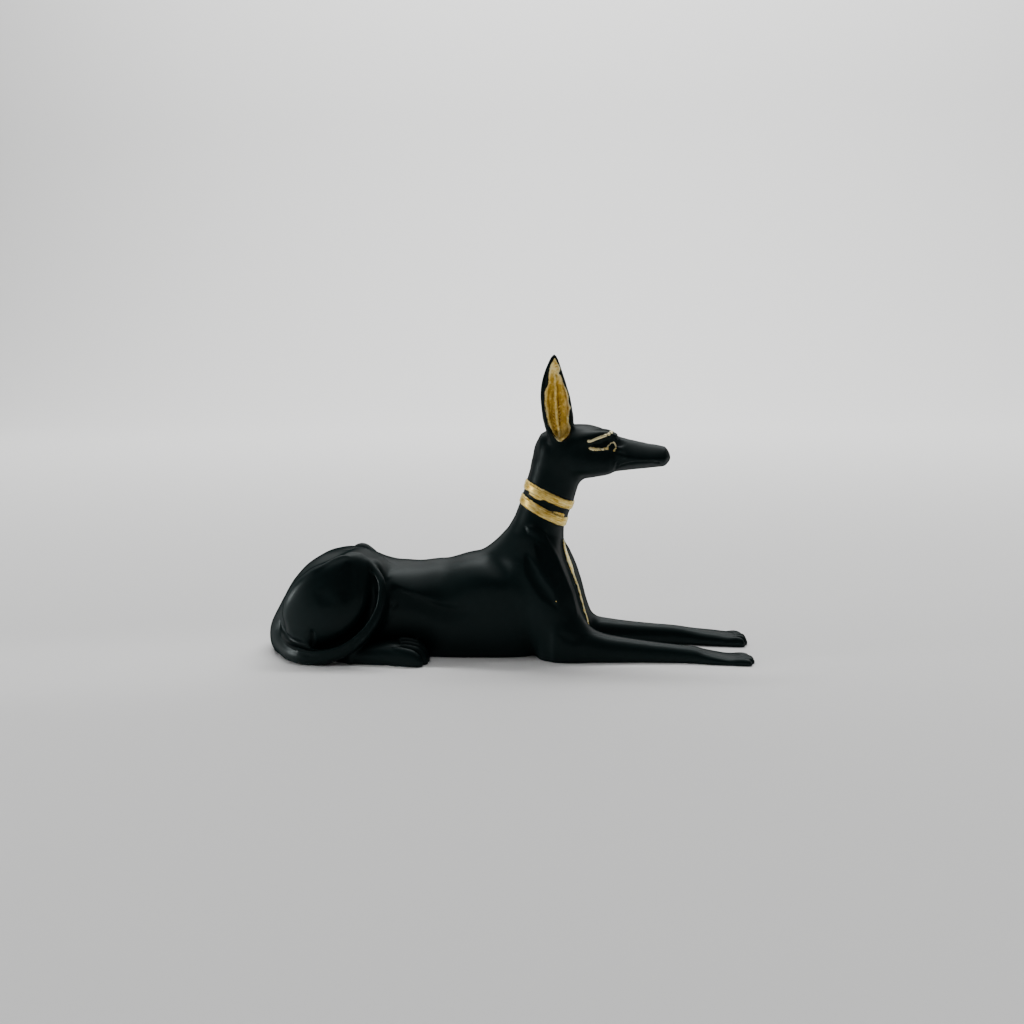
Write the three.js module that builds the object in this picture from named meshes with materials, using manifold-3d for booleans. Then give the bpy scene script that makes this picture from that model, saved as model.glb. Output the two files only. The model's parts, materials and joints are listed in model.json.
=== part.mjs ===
// A recumbent jackal figurine, cast in one piece, in millimetres with +Z up.
// The jackal faces +X and lies on a flat underside at z = 0. Its tail lies on the -Y side only.
import * as THREE from "three";
import { mergeVertices } from "three/addons/utils/BufferGeometryUtils.js";
import Module from "manifold-3d";

const wasm = await Module();
wasm.setup();

// Driving sizes
const bodyLength = 200; // from the rump to the tips of the front paws
const earWall = 1.3; // thickness of the ear shell, also of its rim
const earTilt = 27; // degrees that the ear opening turns from sideways to forward
const bandWidth = 4.4; // width of each collar band along the neck
const bandGap = 2.6; // bare neck between the two bands
const bandRelief = 0.7; // how far the bands and the brow strokes stand proud
const sashWidth = 3.2; // width of the ribbon down the breastbone
const sashRelief = 0.5; // how far the ribbon stands proud
const tailThickness = 7.2; // the tail where it leaves the rump
const mouthDepth = 0.5; // depth of the mouth line
const toeCount = 4;

const NEAR = -1; // the side that carries the tail
const FAR = 1;

// The pose and the forms are shares of the length, written in two-hundredths of it.
const u = bodyLength / 200;

// Cross-sections and skins

const smoothPower = (value, power) => Math.sign(value) * Math.abs(value) ** (2 / power);

// One closed ring: an oval with its own reach to the front (rise) and to the back (drop).
// It gets squarer as its power grows past 2.
function oval({ centre, across, up, width, rise, drop, power, sides }) {
  return Array.from({ length: sides }, (_, index) => {
    const angle = (2 * Math.PI * index) / sides;
    const sine = smoothPower(Math.sin(angle), power);
    return centre
      .clone()
      .addScaledVector(across, width * smoothPower(Math.cos(angle), power))
      .addScaledVector(up, (sine > 0 ? rise : drop) * sine);
  });
}

// More rows between the given ones, on a smooth curve through every column.
function smoothRows(rows, steps) {
  const places = rows.map((_, index) => index);
  const curve = new THREE.CubicInterpolant(places, rows.flat(), rows[0].length);
  const count = (rows.length - 1) * steps + 1;
  return Array.from({ length: count }, (_, index) => Array.from(curve.evaluate(index / steps)));
}

// The row where the first column has a given value, from rows that climb or fall steadily.
function rowAt(rows, value) {
  const last = rows.length - 2;
  const found = rows.findIndex((row, i) => i <= last && (row[0] - value) * (rows[i + 1][0] - value) <= 0);
  const start = found < 0 ? last : found;
  const share = (value - rows[start][0]) / (rows[start + 1][0] - rows[start][0]);
  return rows[start].map((entry, column) => THREE.MathUtils.lerp(entry, rows[start + 1][column], share));
}

// A closed solid over a row of rings, with a fan over each end.
function skin(rings) {
  const sides = rings[0].length;
  const middle = (ring) => ring.reduce((sum, p) => sum.add(p), new THREE.Vector3()).divideScalar(sides);
  const points = [...rings.flat(), middle(rings[0]), middle(rings.at(-1))];
  const [startCentre, endCentre] = [points.length - 2, points.length - 1];
  const lastRing = (rings.length - 1) * sides;
  const faces = [];
  for (let side = 0; side < sides; side += 1) {
    const next = (side + 1) % sides;
    for (let row = 0; row < lastRing; row += sides) {
      faces.push([row + side, row + next, row + sides + next]);
      faces.push([row + side, row + sides + next, row + sides + side]);
    }
    faces.push([startCentre, next, side]);
    faces.push([endCentre, lastRing + side, lastRing + next]);
  }
  const volume = faces.reduce((sum, [a, b, c]) => {
    return sum + points[a].dot(points[b].clone().cross(points[c]));
  }, 0);
  const outward = volume > 0 ? faces : faces.map(([a, b, c]) => [a, c, b]);
  const geometry = new THREE.BufferGeometry().setFromPoints(points);
  geometry.setIndex(outward.flat());
  return toSolid(geometry);
}

// A round bar along a smooth curve, with a radius that follows its own list of values.
function bar(places, radii, steps, sides) {
  const path = new THREE.CatmullRomCurve3(places);
  const rows = smoothRows(radii.map((radius) => [radius]), steps);
  const { normals, binormals } = path.computeFrenetFrames(rows.length - 1, false);
  return skin(rows.map(([radius], index) => oval({
    centre: path.getPoint(index / (rows.length - 1)),
    across: normals[index],
    up: binormals[index],
    width: radius,
    rise: radius,
    drop: radius,
    power: 2,
    sides,
  })));
}

function toSolid(geometry) {
  const bare = geometry.clone();
  bare.deleteAttribute("normal");
  bare.deleteAttribute("uv");
  const merged = mergeVertices(bare);
  return new wasm.Manifold(new wasm.Mesh({
    numProp: 3,
    vertProperties: new Float32Array(merged.attributes.position.array),
    triVerts: new Uint32Array(merged.index.array),
  }));
}

const AXIS_X = new THREE.Vector3(1, 0, 0);
const AXIS_Y = new THREE.Vector3(0, 1, 0);
const AXIS_Z = new THREE.Vector3(0, 0, 1);
const place = (x, y, z) => new THREE.Vector3(x, y, z).multiplyScalar(u);

// Trunk, from the rump forward into the chest
// Columns: x, top, half width, height of the widest line, reach below it, power
const trunkStations = [
  [-100, 8.5, 3, 5.5, 6, 2],
  [-99, 12, 8.5, 6, 12, 2.1],
  [-96.4, 17.4, 13, 8, 20, 2.2],
  [-93, 23.4, 17, 10, 26, 2.4],
  [-87.6, 31, 20.6, 12, 32, 2.6],
  [-81, 37.4, 22.8, 14, 36, 2.8],
  [-74, 40.6, 23.6, 15, 36, 2.9],
  [-66.6, 42.1, 23.2, 15, 34, 2.9],
  [-59, 41.2, 21, 15, 30, 2.7],
  [-52, 39, 18.4, 15, 26, 2.4],
  [-44, 37.3, 17, 15.5, 24, 2.3],
  [-36, 37, 16.6, 16, 24, 2.3],
  [-26, 37.9, 17, 16, 24, 2.3],
  [-16, 40.2, 17.8, 16, 24, 2.3],
  [-6, 43, 18.4, 16, 24, 2.3],
  [4, 41, 18.2, 15, 23, 2.3],
  [12, 34, 16, 14, 20, 2.3],
];

function trunk() {
  return skin(trunkStations.map(([x, top, width, middle, drop, power]) => oval({
    centre: place(x, 0, middle),
    across: AXIS_Y,
    up: AXIS_Z,
    width: width * u,
    rise: (top - middle) * u,
    drop: drop * u,
    power,
    sides: 22,
  })));
}

// Breast, a column of level sections from the belly up into the neck
// Columns: height, front, back, half width
const breastStations = [
  [-3, 33.4, -10, 14.5],
  [4, 33.9, -12, 17],
  [10, 33.6, -12, 18.2],
  [18, 31.5, -12, 18.6],
  [26, 29.3, -12, 18.4],
  [33, 27.1, -12, 17.6],
  [39, 24.9, -10, 16],
  [44, 23.2, -7.5, 13.6],
  [49, 22.6, -2.5, 11.2],
  [53, 22.8, 2, 9.6],
];

function breast() {
  return skin(breastStations.map(([height, front, back, width]) => oval({
    centre: place((front + back) / 2, 0, height),
    across: AXIS_Y,
    up: AXIS_X,
    width: width * u,
    rise: ((front - back) / 2) * u,
    drop: ((front - back) / 2) * u,
    power: 2.2,
    sides: 22,
  })));
}

// Shoulder and upper arm, level sections from beside the neck down to the elbow
// Columns: height, centre x, centre y, half length, half width
const shoulderStations = [
  [50, 12, 4.5, 4, 2],
  [45.5, 13.2, 7, 8.5, 4.6],
  [40, 14.9, 9.4, 11.1, 7.2],
  [33.5, 17.2, 10.6, 11.5, 8.4],
  [27, 19, 11.4, 11.6, 8.8],
  [20, 20.6, 11.8, 11.7, 8.8],
  [13, 22.8, 12.2, 11.8, 8.5],
  [6, 24.6, 12.8, 11.4, 7.8],
  [-2, 25.4, 13, 10.4, 7.2],
];

function shoulder(side) {
  return skin(shoulderStations.map(([height, x, y, length, width]) => oval({
    centre: place(x, side * y, height),
    across: AXIS_Y,
    up: AXIS_X,
    width: width * u,
    rise: length * u,
    drop: length * u,
    power: 2.2,
    sides: 16,
  })));
}

// Neck, along an axis that leans forward
// Columns: distance up the neck, x, z, lean in degrees, half depth, half width
const neckStations = [
  [0, 5, 32, 15, 19.5, 16],
  [9, 8.4, 40.4, 15, 15, 14.4],
  [16.7, 12, 47.3, 17, 11.5, 11.8],
  [23, 14.3, 53.2, 21, 10.7, 10],
  [28, 16.2, 58, 24, 10.4, 9.2],
  [34.5, 18.2, 64.2, 23, 9.9, 8.7],
  [41, 20.1, 70.4, 20, 10.4, 8.8],
  [44.5, 21.2, 73.7, 18, 11.5, 8.9],
  [49, 21.6, 78.2, 14, 10.8, 8.9],
  [54, 23, 83, 8, 9.2, 7.4],
  [59, 25, 87.8, 4, 5, 4],
];

// One section of the neck, standing proud of it by a given amount.
function neckRing(distance, proud) {
  const [, x, z, lean, depth, width] = rowAt(neckStations, distance);
  const angle = THREE.MathUtils.degToRad(lean);
  return oval({
    centre: place(x, 0, z),
    across: AXIS_Y,
    up: new THREE.Vector3(Math.cos(angle), 0, -Math.sin(angle)),
    width: width * u + proud,
    rise: depth * u + proud,
    drop: depth * u + proud,
    power: 2.1,
    sides: 22,
  });
}

function neck() {
  return skin(neckStations.map(([distance]) => neckRing(distance, 0)));
}

// Collar, two raised bands round the neck, with their edges rounded over
const collarMiddle = 30.7; // distance up the neck of the bare gap between the bands

function collarBand(direction) {
  const middle = collarMiddle + (direction * (bandGap + bandWidth)) / 2 / u;
  const edge = bandWidth / 2 / u;
  const buried = -bandRelief;
  const section = [
    [-1, buried],
    [-1, 0.55 * bandRelief],
    [-0.6, bandRelief],
    [0.6, bandRelief],
    [1, 0.55 * bandRelief],
    [1, buried],
  ];
  return skin(section.map(([share, proud]) => neckRing(middle + share * edge, proud)));
}

// Head, from the back of the skull to the nose
// Columns: x, top, underside, half width, power
const headStations = [
  [12.4, 84.6, 79.6, 2.6, 2],
  [14, 88.6, 75.8, 6.2, 2.1],
  [18, 91.6, 73.6, 8.6, 2.2],
  [23, 93, 72, 9.6, 2.3],
  [28.5, 93.7, 70.7, 10, 2.3],
  [33.5, 93.9, 70.7, 9.7, 2.3],
  [38, 93.4, 71.9, 8.7, 2.4],
  [41.6, 92, 73, 7.5, 2.5],
  [44.6, 89.9, 73.8, 6.2, 2.4],
  [47.5, 88.3, 74.2, 5.2, 2.3],
  [53, 86.8, 74.8, 4.5, 2.2],
  [59, 85.6, 75.4, 3.9, 2.2],
  [63.4, 84.6, 76.2, 3.4, 2.2],
  [66.1, 83.2, 77.9, 2.4, 2.1],
  [67.2, 81.7, 79.8, 1, 2],
];

function head() {
  return skin(headStations.map(([x, top, bottom, width, power]) => oval({
    centre: place(x, 0, (top + bottom) / 2),
    across: AXIS_Y,
    up: AXIS_Z,
    width: width * u,
    rise: ((top - bottom) / 2) * u,
    drop: ((top - bottom) / 2) * u,
    power,
    sides: 20,
  })));
}

// The place on one side of the head at a given x and height, moved out by a given amount.
function headSide(side, x, z, proud) {
  const [, top, bottom, width, power] = rowAt(headStations, x);
  const level = Math.min(Math.abs((2 * z - top - bottom) / (top - bottom)), 0.97);
  const out = width * (1 - level ** power) ** (1 / power);
  return place(x, side * out, z).addScaledVector(AXIS_Y, side * proud);
}

// Places along the head, from a short list of x and height.
const alongHead = (side, spots, proud) => spots.map(([x, z]) => headSide(side, x, z, proud));

const browSpots = [[33.8, 86.8], [36.6, 87.9], [40, 88.8], [43.4, 88.9]];
const lidSpots = [[34.2, 83.6], [37.5, 83.2], [41, 83.6], [43, 85.4]];
const mouthSpots = [[46.6, 75.9], [49, 76.7], [54, 77.4], [59, 78.1], [63.4, 78], [66.4, 77.6]];
const eyeSpot = [44.6, 84.6];
const eyeRadius = 1.7;

// A raised stroke on the head, thinner at its ends, which stands proud as far as the collar does.
function stroke(side, spots) {
  const radius = 1.4 * bandRelief;
  const radii = [0.6, 1, 1, 0.7].map((share) => share * radius);
  return bar(alongHead(side, spots, bandRelief - radius), radii, 2, 6);
}

// The eye, a low dome that looks out and forward.
function eye(side) {
  const dome = new THREE.SphereGeometry(eyeRadius * u, 10, 6);
  const flatness = 0.75;
  dome.scale(0.9, flatness, 1.15);
  const spot = headSide(side, eyeSpot[0], eyeSpot[1], bandRelief - flatness * eyeRadius * u);
  dome.translate(spot.x, spot.y, spot.z);
  return toSolid(dome);
}

// The mouth line is a half-round groove, so its bar is centred on the skin.
function mouthCut(side) {
  return bar(alongHead(side, mouthSpots, 0), mouthSpots.map(() => mouthDepth), 2, 6);
}

// Ear, a leaf-shaped cup that opens to the side and a little forward
// Columns: height, centre x, centre y, half breadth, depth of the cup behind its rim
// The far ear leans back a little more, as on the cast.
const earStations = [
  [84, 23.8, 7, 2.2, 3],
  [87.5, 23.4, 7.5, 4.1, 4.2],
  [91.5, 23, 8, 5.7, 5],
  [97, 22.4, 8.6, 6.4, 5.2],
  [103, 21.7, 9.2, 6.2, 4.8],
  [109, 21.1, 9.8, 5.1, 4],
  [114.5, 21.1, 10.3, 3.4, 2.9],
  [118.6, 21.4, 10.7, 1.7, 1.7],
  [120.9, 21.6, 10.9, 0.45, 0.5],
];
const farEarSweep = 0.04; // how far the far ear goes back for each step up

function earRing(side, [z, x, y, breadth, depth], wall, mouth) {
  const sweep = side === FAR ? farEarSweep * (z - earStations[0][0]) : 0;
  const angle = THREE.MathUtils.degToRad(earTilt);
  const opening = new THREE.Vector3(Math.sin(angle), side * Math.cos(angle), 0);
  return oval({
    centre: place(x - sweep, side * y, z),
    across: new THREE.Vector3(Math.cos(angle), -side * Math.sin(angle), 0),
    up: opening,
    width: breadth * u - wall,
    rise: mouth * depth * u,
    drop: depth * u - wall,
    power: 2,
    sides: 16,
  });
}

// The cup: a leaf with a nearly flat front, and a hollow through that front.
function ear(side) {
  const bulge = 0.42; // of the front, as a share of the cup's depth
  const through = 2.5; // far enough to cut right through that front
  const leaf = skin(earStations.map((row) => earRing(side, row, 0, bulge)));
  const lowest = earStations[1][0];
  const inside = earStations.filter(([z, , , breadth]) => z >= lowest && breadth * u > 1.4 * earWall);
  return { leaf, hollow: skin(inside.map((row) => earRing(side, row, earWall, through))) };
}

// Haunch, a tilted egg that swells out of the side
const haunchTilt = THREE.MathUtils.degToRad(38);
const haunchLong = new THREE.Vector3(Math.cos(haunchTilt), 0, Math.sin(haunchTilt));
const haunchShort = new THREE.Vector3(-Math.sin(haunchTilt), 0, Math.cos(haunchTilt));
const haunchX = { [NEAR]: -71.4, [FAR]: -73.6 };
const haunchHeight = 24; // of its middle
const haunchWidth = 19.8; // half of it, along the tilt
const haunchRise = 14.4; // from the middle to the rear top
const haunchDrop = 16.6; // from the middle to the front foot
// Columns: distance out from the middle of the body, share of the full outline
const haunchDome = [
  [8, 0.9],
  [13, 1],
  [18.5, 1],
  [22.5, 0.95],
  [25.4, 0.83],
  [27.3, 0.62],
  [28.1, 0.36],
  [28.3, 0.12],
];
// The bed is the floor of the groove that runs round the front and the foot of the haunch.
const bedDome = [[8, 1], [18.5, 1], [21.6, 0.95], [22.8, 0.85]];
const bedShift = { [NEAR]: [6.2, 1.2], [FAR]: [3.6, -2.6] }; // forward and up from the middle of the haunch

function egg(side, dome, [forward, raised]) {
  return skin(dome.map(([out, share]) => oval({
    centre: place(haunchX[side] + forward, side * out, haunchHeight + raised),
    across: haunchLong,
    up: haunchShort,
    width: haunchWidth * share * u,
    rise: haunchRise * share * u,
    drop: haunchDrop * share * u,
    power: 2.1,
    sides: 20,
  })));
}

const haunch = (side) => [egg(side, haunchDome, [0, 0]), egg(side, bedDome, bedShift[side])];

// Shin of the folded leg, level sections from the ground up to the knee, thin from front to back
// Columns: height, x, reach to the side
const shinStations = [
  [-2, -60, 28.6],
  [4.5, -58.4, 28.6],
  [10.5, -53.4, 28.2],
  [17, -49, 26.6],
  [25, -47, 23.4],
  [30.4, -49, 18.4],
  [34.4, -53, 11.6],
];

function shin(side) {
  const inside = 9; // how near the middle of the body the sections start
  const thickness = 4.6;
  return skin(shinStations.map(([height, x, reach]) => oval({
    centre: place(x, (side * (reach + inside)) / 2, height),
    across: AXIS_Y,
    up: AXIS_X,
    width: ((reach - inside) / 2) * u,
    rise: (thickness / 2) * u,
    drop: (thickness / 2) * u,
    power: 2.6,
    sides: 10,
  })));
}

// Tail, from the rump along the ground and up in front of the haunch on the -Y side
function tail() {
  const places = [
    place(-94, 6, 6),
    place(-96.2, -6, 4.6),
    place(-91, -19.4, 3.2),
    place(-82, -28.4, 2.6),
    place(-71.5, -30.6, 2.7),
    place(-62.2, -29.6, 6.4),
    place(-54.4, -28.6, 12.8),
    place(-49, -27, 20.6),
    place(-46.9, -24, 28.6),
    place(-48.4, -19.8, 35.6),
    place(-52.6, -16.4, 40),
    place(-58.6, -13.4, 42.4),
    place(-62.6, -12.6, 42.6),
  ];
  const thick = tailThickness / 2;
  const shares = [0.9, 1, 1, 0.98, 0.88, 0.78, 0.7, 0.64, 0.6, 0.56, 0.52, 0.44, 0.22];
  return bar(places, shares.map((share) => share * thick), 2, 10);
}

// Hind foot, flat on the ground from the heel under the haunch to the paw beside the belly
// Columns: x, centre y, top, half width
const hindFootStations = [
  [-92, 13.5, 6, 4],
  [-86, 18, 8.4, 6.4],
  [-76, 21.4, 9, 7.4],
  [-64, 22.6, 8.4, 7],
  [-54, 23, 8, 6.3],
  [-46, 23.2, 8.6, 6.3],
  [-40, 23.3, 9.2, 6.6],
  [-35.5, 23.4, 8.2, 6.3],
  [-32.5, 23.4, 6, 5.2],
];

// Foreleg, from inside the elbow to the paw; the near one is slimmer at the paw, as on the cast
// Columns: x, centre y, top of the near leg, top of the far leg, half width
const forelegStations = [
  [20, 12.6, 17, 16, 7],
  [29, 13, 15, 13.4, 7],
  [35.5, 13.2, 12.4, 10.9, 6.4],
  [42, 13.2, 10.2, 9.8, 5.6],
  [50, 13, 8.8, 8.9, 4.8],
  [60, 12.8, 7.4, 8.1, 4.1],
  [70, 12.9, 6.3, 7.4, 3.9],
  [76.5, 13.1, 5.5, 6.5, 4.3],
  [80.5, 13.3, 4.2, 5.9, 5.2],
  [85, 13.5, 3.6, 5.8, 6],
  [90, 13.5, 3.5, 5.6, 6.2],
  [94.5, 13.5, 2.8, 4.6, 5.2],
];

// A limb that lies on the ground; the part below the ground is cut off later.
function limb(side, stations) {
  const buried = 2.4; // keeps the flat underside nearly as wide as the limb
  const widest = 0.42; // height of the widest line, as a share of the limb's own
  return skin(stations.map(([x, y, top, width]) => oval({
    centre: place(x, side * y, widest * top),
    across: AXIS_Y,
    up: AXIS_Z,
    width: width * u,
    rise: (1 - widest) * top * u,
    drop: (widest * top + buried) * u,
    power: 2.2,
    sides: 12,
  })));
}

function foreleg(side) {
  return limb(side, forelegStations.map(([x, y, nearTop, farTop, width]) => {
    return [x, y, side === NEAR ? nearTop : farTop, width];
  }));
}

const forePaw = { tip: 100, centre: 13.5, spread: 6.4, length: 12, fan: 0.04 };
const forePawHeight = { [NEAR]: 3.5, [FAR]: 5.2 };
const hindPaw = { tip: -28, centre: 23.4, spread: 6.7, length: 12, height: 7.4, fan: 0.1 };

// The toes of one paw, side by side, fanned a little, with the middle ones ahead.
// Columns: share of the toe's length, share of its width, share of its height
const toeProfile = [[0, 0.9, 1], [0.6, 1, 0.94], [0.9, 0.9, 0.66], [1, 0.5, 0.36]];
const toeOverlap = 1.16; // a toe is this much wider than its share of the paw
const toeSetback = 0.22; // of the outer toes, as a share of half the paw's width

function toes({ side, tip, centre, spread, length, height, fan }) {
  const radius = spread / toeCount;
  const widest = 0.4; // height of a toe's widest line, as a share of its own
  return Array.from({ length: toeCount }, (_, index) => {
    const share = (2 * index) / (toeCount - 1) - 1;
    const y = centre + share * (spread - radius);
    const reach = tip - toeSetback * spread * share ** 2;
    return skin(toeProfile.map(([along, wide, high]) => {
      const back = length * (1 - along);
      return oval({
        centre: place(reach - back, side * (y - fan * share * back), widest * height * high),
        across: AXIS_Y,
        up: AXIS_Z,
        width: toeOverlap * radius * wide * u,
        rise: (1 - widest) * height * high * u,
        drop: height * u,
        power: 2.1,
        sides: 8,
      });
    }));
  });
}

// Sash, a leaf-shaped knot at the base of the neck and a ribbon down the breastbone
// Columns: height, half width as a share of the ribbon
const sashWidths = [[47, 0.35], [44, 0.8], [39, 1.15], [34, 1.05], [30, 0.56], [20, 0.5], [5, 0.5]];

function sash() {
  return skin(sashWidths.map(([height, share]) => oval({
    centre: place(rowAt(breastStations, height)[1], 0, height),
    across: AXIS_Y,
    up: AXIS_X,
    width: share * sashWidth,
    rise: sashRelief,
    drop: 2 * sashRelief,
    power: 3,
    sides: 8,
  })));
}

// The whole figure

function figure() {
  const pieces = [breast(), neck(), head(), collarBand(-1), collarBand(1), tail(), sash()];
  const hollows = [];
  for (const side of [NEAR, FAR]) {
    const { leaf, hollow } = ear(side);
    pieces.push(shoulder(side), ...haunch(side), shin(side), leaf);
    pieces.push(foreleg(side), limb(side, hindFootStations));
    pieces.push(...toes({ side, ...forePaw, height: forePawHeight[side] }));
    pieces.push(...toes({ side, ...hindPaw }));
    pieces.push(stroke(side, browSpots), stroke(side, lidSpots), eye(side));
    hollows.push(hollow, mouthCut(side));
  }
  const whole = pieces.reduce((body, piece) => body.add(piece), trunk());
  const hollowed = hollows.reduce((body, hollow) => body.subtract(hollow), whole);
  return cutFlat(hollowed);
}

// Take away everything below the ground, so that the figure lies on one flat underside.
function cutFlat(body) {
  const ground = new THREE.BoxGeometry(2 * bodyLength, bodyLength, bodyLength);
  ground.translate(0, 0, -bodyLength / 2);
  return body.subtract(toSolid(ground));
}

// Back to a three.js geometry, with the origin under the middle of the figure's box.
function toGeometry(solid) {
  const mesh = solid.getMesh();
  const geometry = new THREE.BufferGeometry();
  geometry.setAttribute("position", new THREE.BufferAttribute(new Float32Array(mesh.vertProperties), 3));
  geometry.setIndex(new THREE.BufferAttribute(new Uint32Array(mesh.triVerts), 1));
  geometry.computeBoundingBox();
  const centre = geometry.boundingBox.getCenter(new THREE.Vector3());
  geometry.translate(-centre.x, -centre.y, -geometry.boundingBox.min.z);
  geometry.computeVertexNormals();
  return geometry;
}

const blackPaint = new THREE.MeshStandardMaterial({ color: 0x16191b, roughness: 0.38, metalness: 0 });

const jackal = new THREE.Mesh(toGeometry(figure()), blackPaint);
jackal.name = "jackal_figure";

const part = new THREE.Group();
part.add(jackal);
export default part;
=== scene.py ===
# %% [markdown]
# # A jackal cast in resin, painted black and gold
#
# The real object is a souvenir of about a hand's length: one cast of stone-filled resin, sprayed
# satin black, then touched with gold by a small brush. This lesson makes it in the order of the
# workshop. First the jackal is modelled in clay, then the clay is turned into one closed cast, then
# the cast is painted, and last it is put on a pale table and photographed.
#
# The frame holds the plain solid of the whole figure. Its box gives the place of everything
# below, so nothing has to be fitted afterwards.

# %% Tools and the frame
import json

import bmesh
import bpy
import numpy as np
from mathutils import Matrix, Vector

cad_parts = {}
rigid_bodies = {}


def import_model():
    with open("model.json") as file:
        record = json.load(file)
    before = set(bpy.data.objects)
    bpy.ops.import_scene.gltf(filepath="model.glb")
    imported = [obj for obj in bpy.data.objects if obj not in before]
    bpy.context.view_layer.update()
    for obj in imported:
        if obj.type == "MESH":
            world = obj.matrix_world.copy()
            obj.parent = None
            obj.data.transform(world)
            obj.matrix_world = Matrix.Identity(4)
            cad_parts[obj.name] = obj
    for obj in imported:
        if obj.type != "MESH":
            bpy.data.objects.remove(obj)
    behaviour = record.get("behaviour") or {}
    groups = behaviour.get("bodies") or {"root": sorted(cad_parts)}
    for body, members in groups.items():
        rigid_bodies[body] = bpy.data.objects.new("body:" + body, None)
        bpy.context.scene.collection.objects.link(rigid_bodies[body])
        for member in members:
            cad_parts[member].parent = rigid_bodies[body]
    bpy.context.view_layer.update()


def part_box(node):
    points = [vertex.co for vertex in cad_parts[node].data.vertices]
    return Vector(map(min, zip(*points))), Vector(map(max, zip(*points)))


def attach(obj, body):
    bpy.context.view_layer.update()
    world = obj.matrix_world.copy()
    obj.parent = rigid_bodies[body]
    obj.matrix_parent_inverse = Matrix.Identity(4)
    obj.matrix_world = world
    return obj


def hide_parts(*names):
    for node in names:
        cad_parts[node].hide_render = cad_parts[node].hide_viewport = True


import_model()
low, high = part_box("jackal_figure")
print("figure, mm:", [round(1000 * side, 1) for side in high - low])

# %% [markdown]
# ## The figure's own measures
#
# A sculptor measures from the middle of the figure. Here x runs from the rump at -100 to the paws
# at 100, y is 0 in the middle of the body and z is 0 on the table, all in millimetres. The tail lies
# on the near side, where y is negative. The frame has its origin under the middle of the whole
# box, a little to one side, and the shift between the two comes from the box itself.

# %% From the figure's measures to the frame
MM = 0.001
RUMP_X = -100.0
TAIL_Y = -33.2
NEAR, FAR = -1, 1
shift = np.array([low.x / MM - RUMP_X, low.y / MM - TAIL_Y, low.z / MM])


def in_frame(points):
    """Places in the figure's millimetres, as places in the frame's metres."""
    return (np.asarray(points, float) + shift) * MM


print("shift, mm:", shift.round(2))

# %% [markdown]
# ## Digital clay
#
# A cast has no seams: the shoulder melts into the neck and the thigh into the back. Subdivided
# boxes or joined meshes make such blends hard. Distance is the better clay. Each lump of clay
# is a rule that says how far a point is from its surface, negative inside. Two lumps are joined by
# the smaller of their distances, rounded off where they meet, and a groove is pressed in by adding
# to the distance along a line.
#
# Most lumps are lofts: squarish ovals stacked along a line. A short table says how wide and how
# high the oval is at a few places, and a smooth curve fills in the rest.


# %% Smooth curves through a short table
def smooth_columns(rows, count=300):
    """Many rows from a few: the first column evenly spaced, the others on curves without bumps."""
    rows = np.array(sorted(rows), float)
    at, values = rows[:, 0], rows[:, 1:]
    step = np.diff(at)[:, None]
    rise = np.diff(values, axis=0) / step
    steady = rise[:-1] * rise[1:] > 0
    both = np.where(steady, rise[:-1] + rise[1:], 1.0)
    slope = np.vstack([rise[:1], np.where(steady, 2 * rise[:-1] * rise[1:] / both, 0.0), rise[-1:]])
    dense = np.linspace(at[0], at[-1], count)
    cell = np.clip(np.searchsorted(at, dense) - 1, 0, len(at) - 2)
    share = ((dense - at[cell]) / (at[cell + 1] - at[cell]))[:, None]
    left = (1 + 2 * share) * (1 - share) ** 2 * values[cell]
    left += share * (1 - share) ** 2 * step[cell] * slope[cell]
    right = share**2 * (3 - 2 * share) * values[cell + 1]
    right -= share**2 * (1 - share) * step[cell] * slope[cell + 1]
    return dense, left + right


# %% A loft
X, Y, Z = np.eye(3)


def row(at, top, bottom, half_width, middle=None, power=2.2, across=0.0):
    """One section of a loft: its place along the line, its top and bottom, and its half width."""
    middle = (top + bottom) / 2 if middle is None else middle
    return (at, across, middle, half_width, top - middle, middle - bottom, power)


class Loft:
    """A lump with squarish oval sections along a line, rounded over a given length at both ends."""

    def __init__(self, rows, along, across, up, caps=(0.6, 0.6), melt=3.0, origin=(0, 0, 0)):
        self.at, self.columns = smooth_columns(rows)
        self.turn = np.array([along, across, up], float)
        self.caps, self.melt, self.origin = caps, melt, np.array(origin, float)
        side, middle, half, rise, drop = self.columns[:, :5].T
        spots = [np.stack([self.at, side + a * half, middle + b], 1) for a in (-1, 1) for b in (rise, -drop)]
        spots = np.vstack(spots) @ self.turn + self.origin
        self.low, self.high = spots.min(0) - melt - 1.5, spots.max(0) + melt + 1.5

    def distance(self, points):
        t, a, b = self.turn @ (points - self.origin).T
        side, middle, half, rise, drop, power = (np.interp(t, self.at, column) for column in self.columns.T)
        a, b = a - side, b - middle
        before, after = self.at[0] + self.caps[0] - t, t - (self.at[-1] - self.caps[1])
        over = np.maximum(np.maximum(before, after), 0)
        cap = np.where(before > after, *self.caps)
        reach = np.where(b > 0, rise, drop)
        ratio = np.abs(a / half) ** power + np.abs(b / reach) ** power + (over / cap) ** power
        ratio = ratio ** (1 / power)
        length = np.sqrt(a * a + b * b + over * over)
        return length - length / np.maximum(ratio, 1e-4)


# %% [markdown]
# ### Lines of clay
#
# The tail is a roll of clay laid along a curve, and the same rule serves for every line that is
# pressed in or raised: the distance from a path through a few places. The path is a smooth curve,
# cut into short straight pieces.


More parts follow.
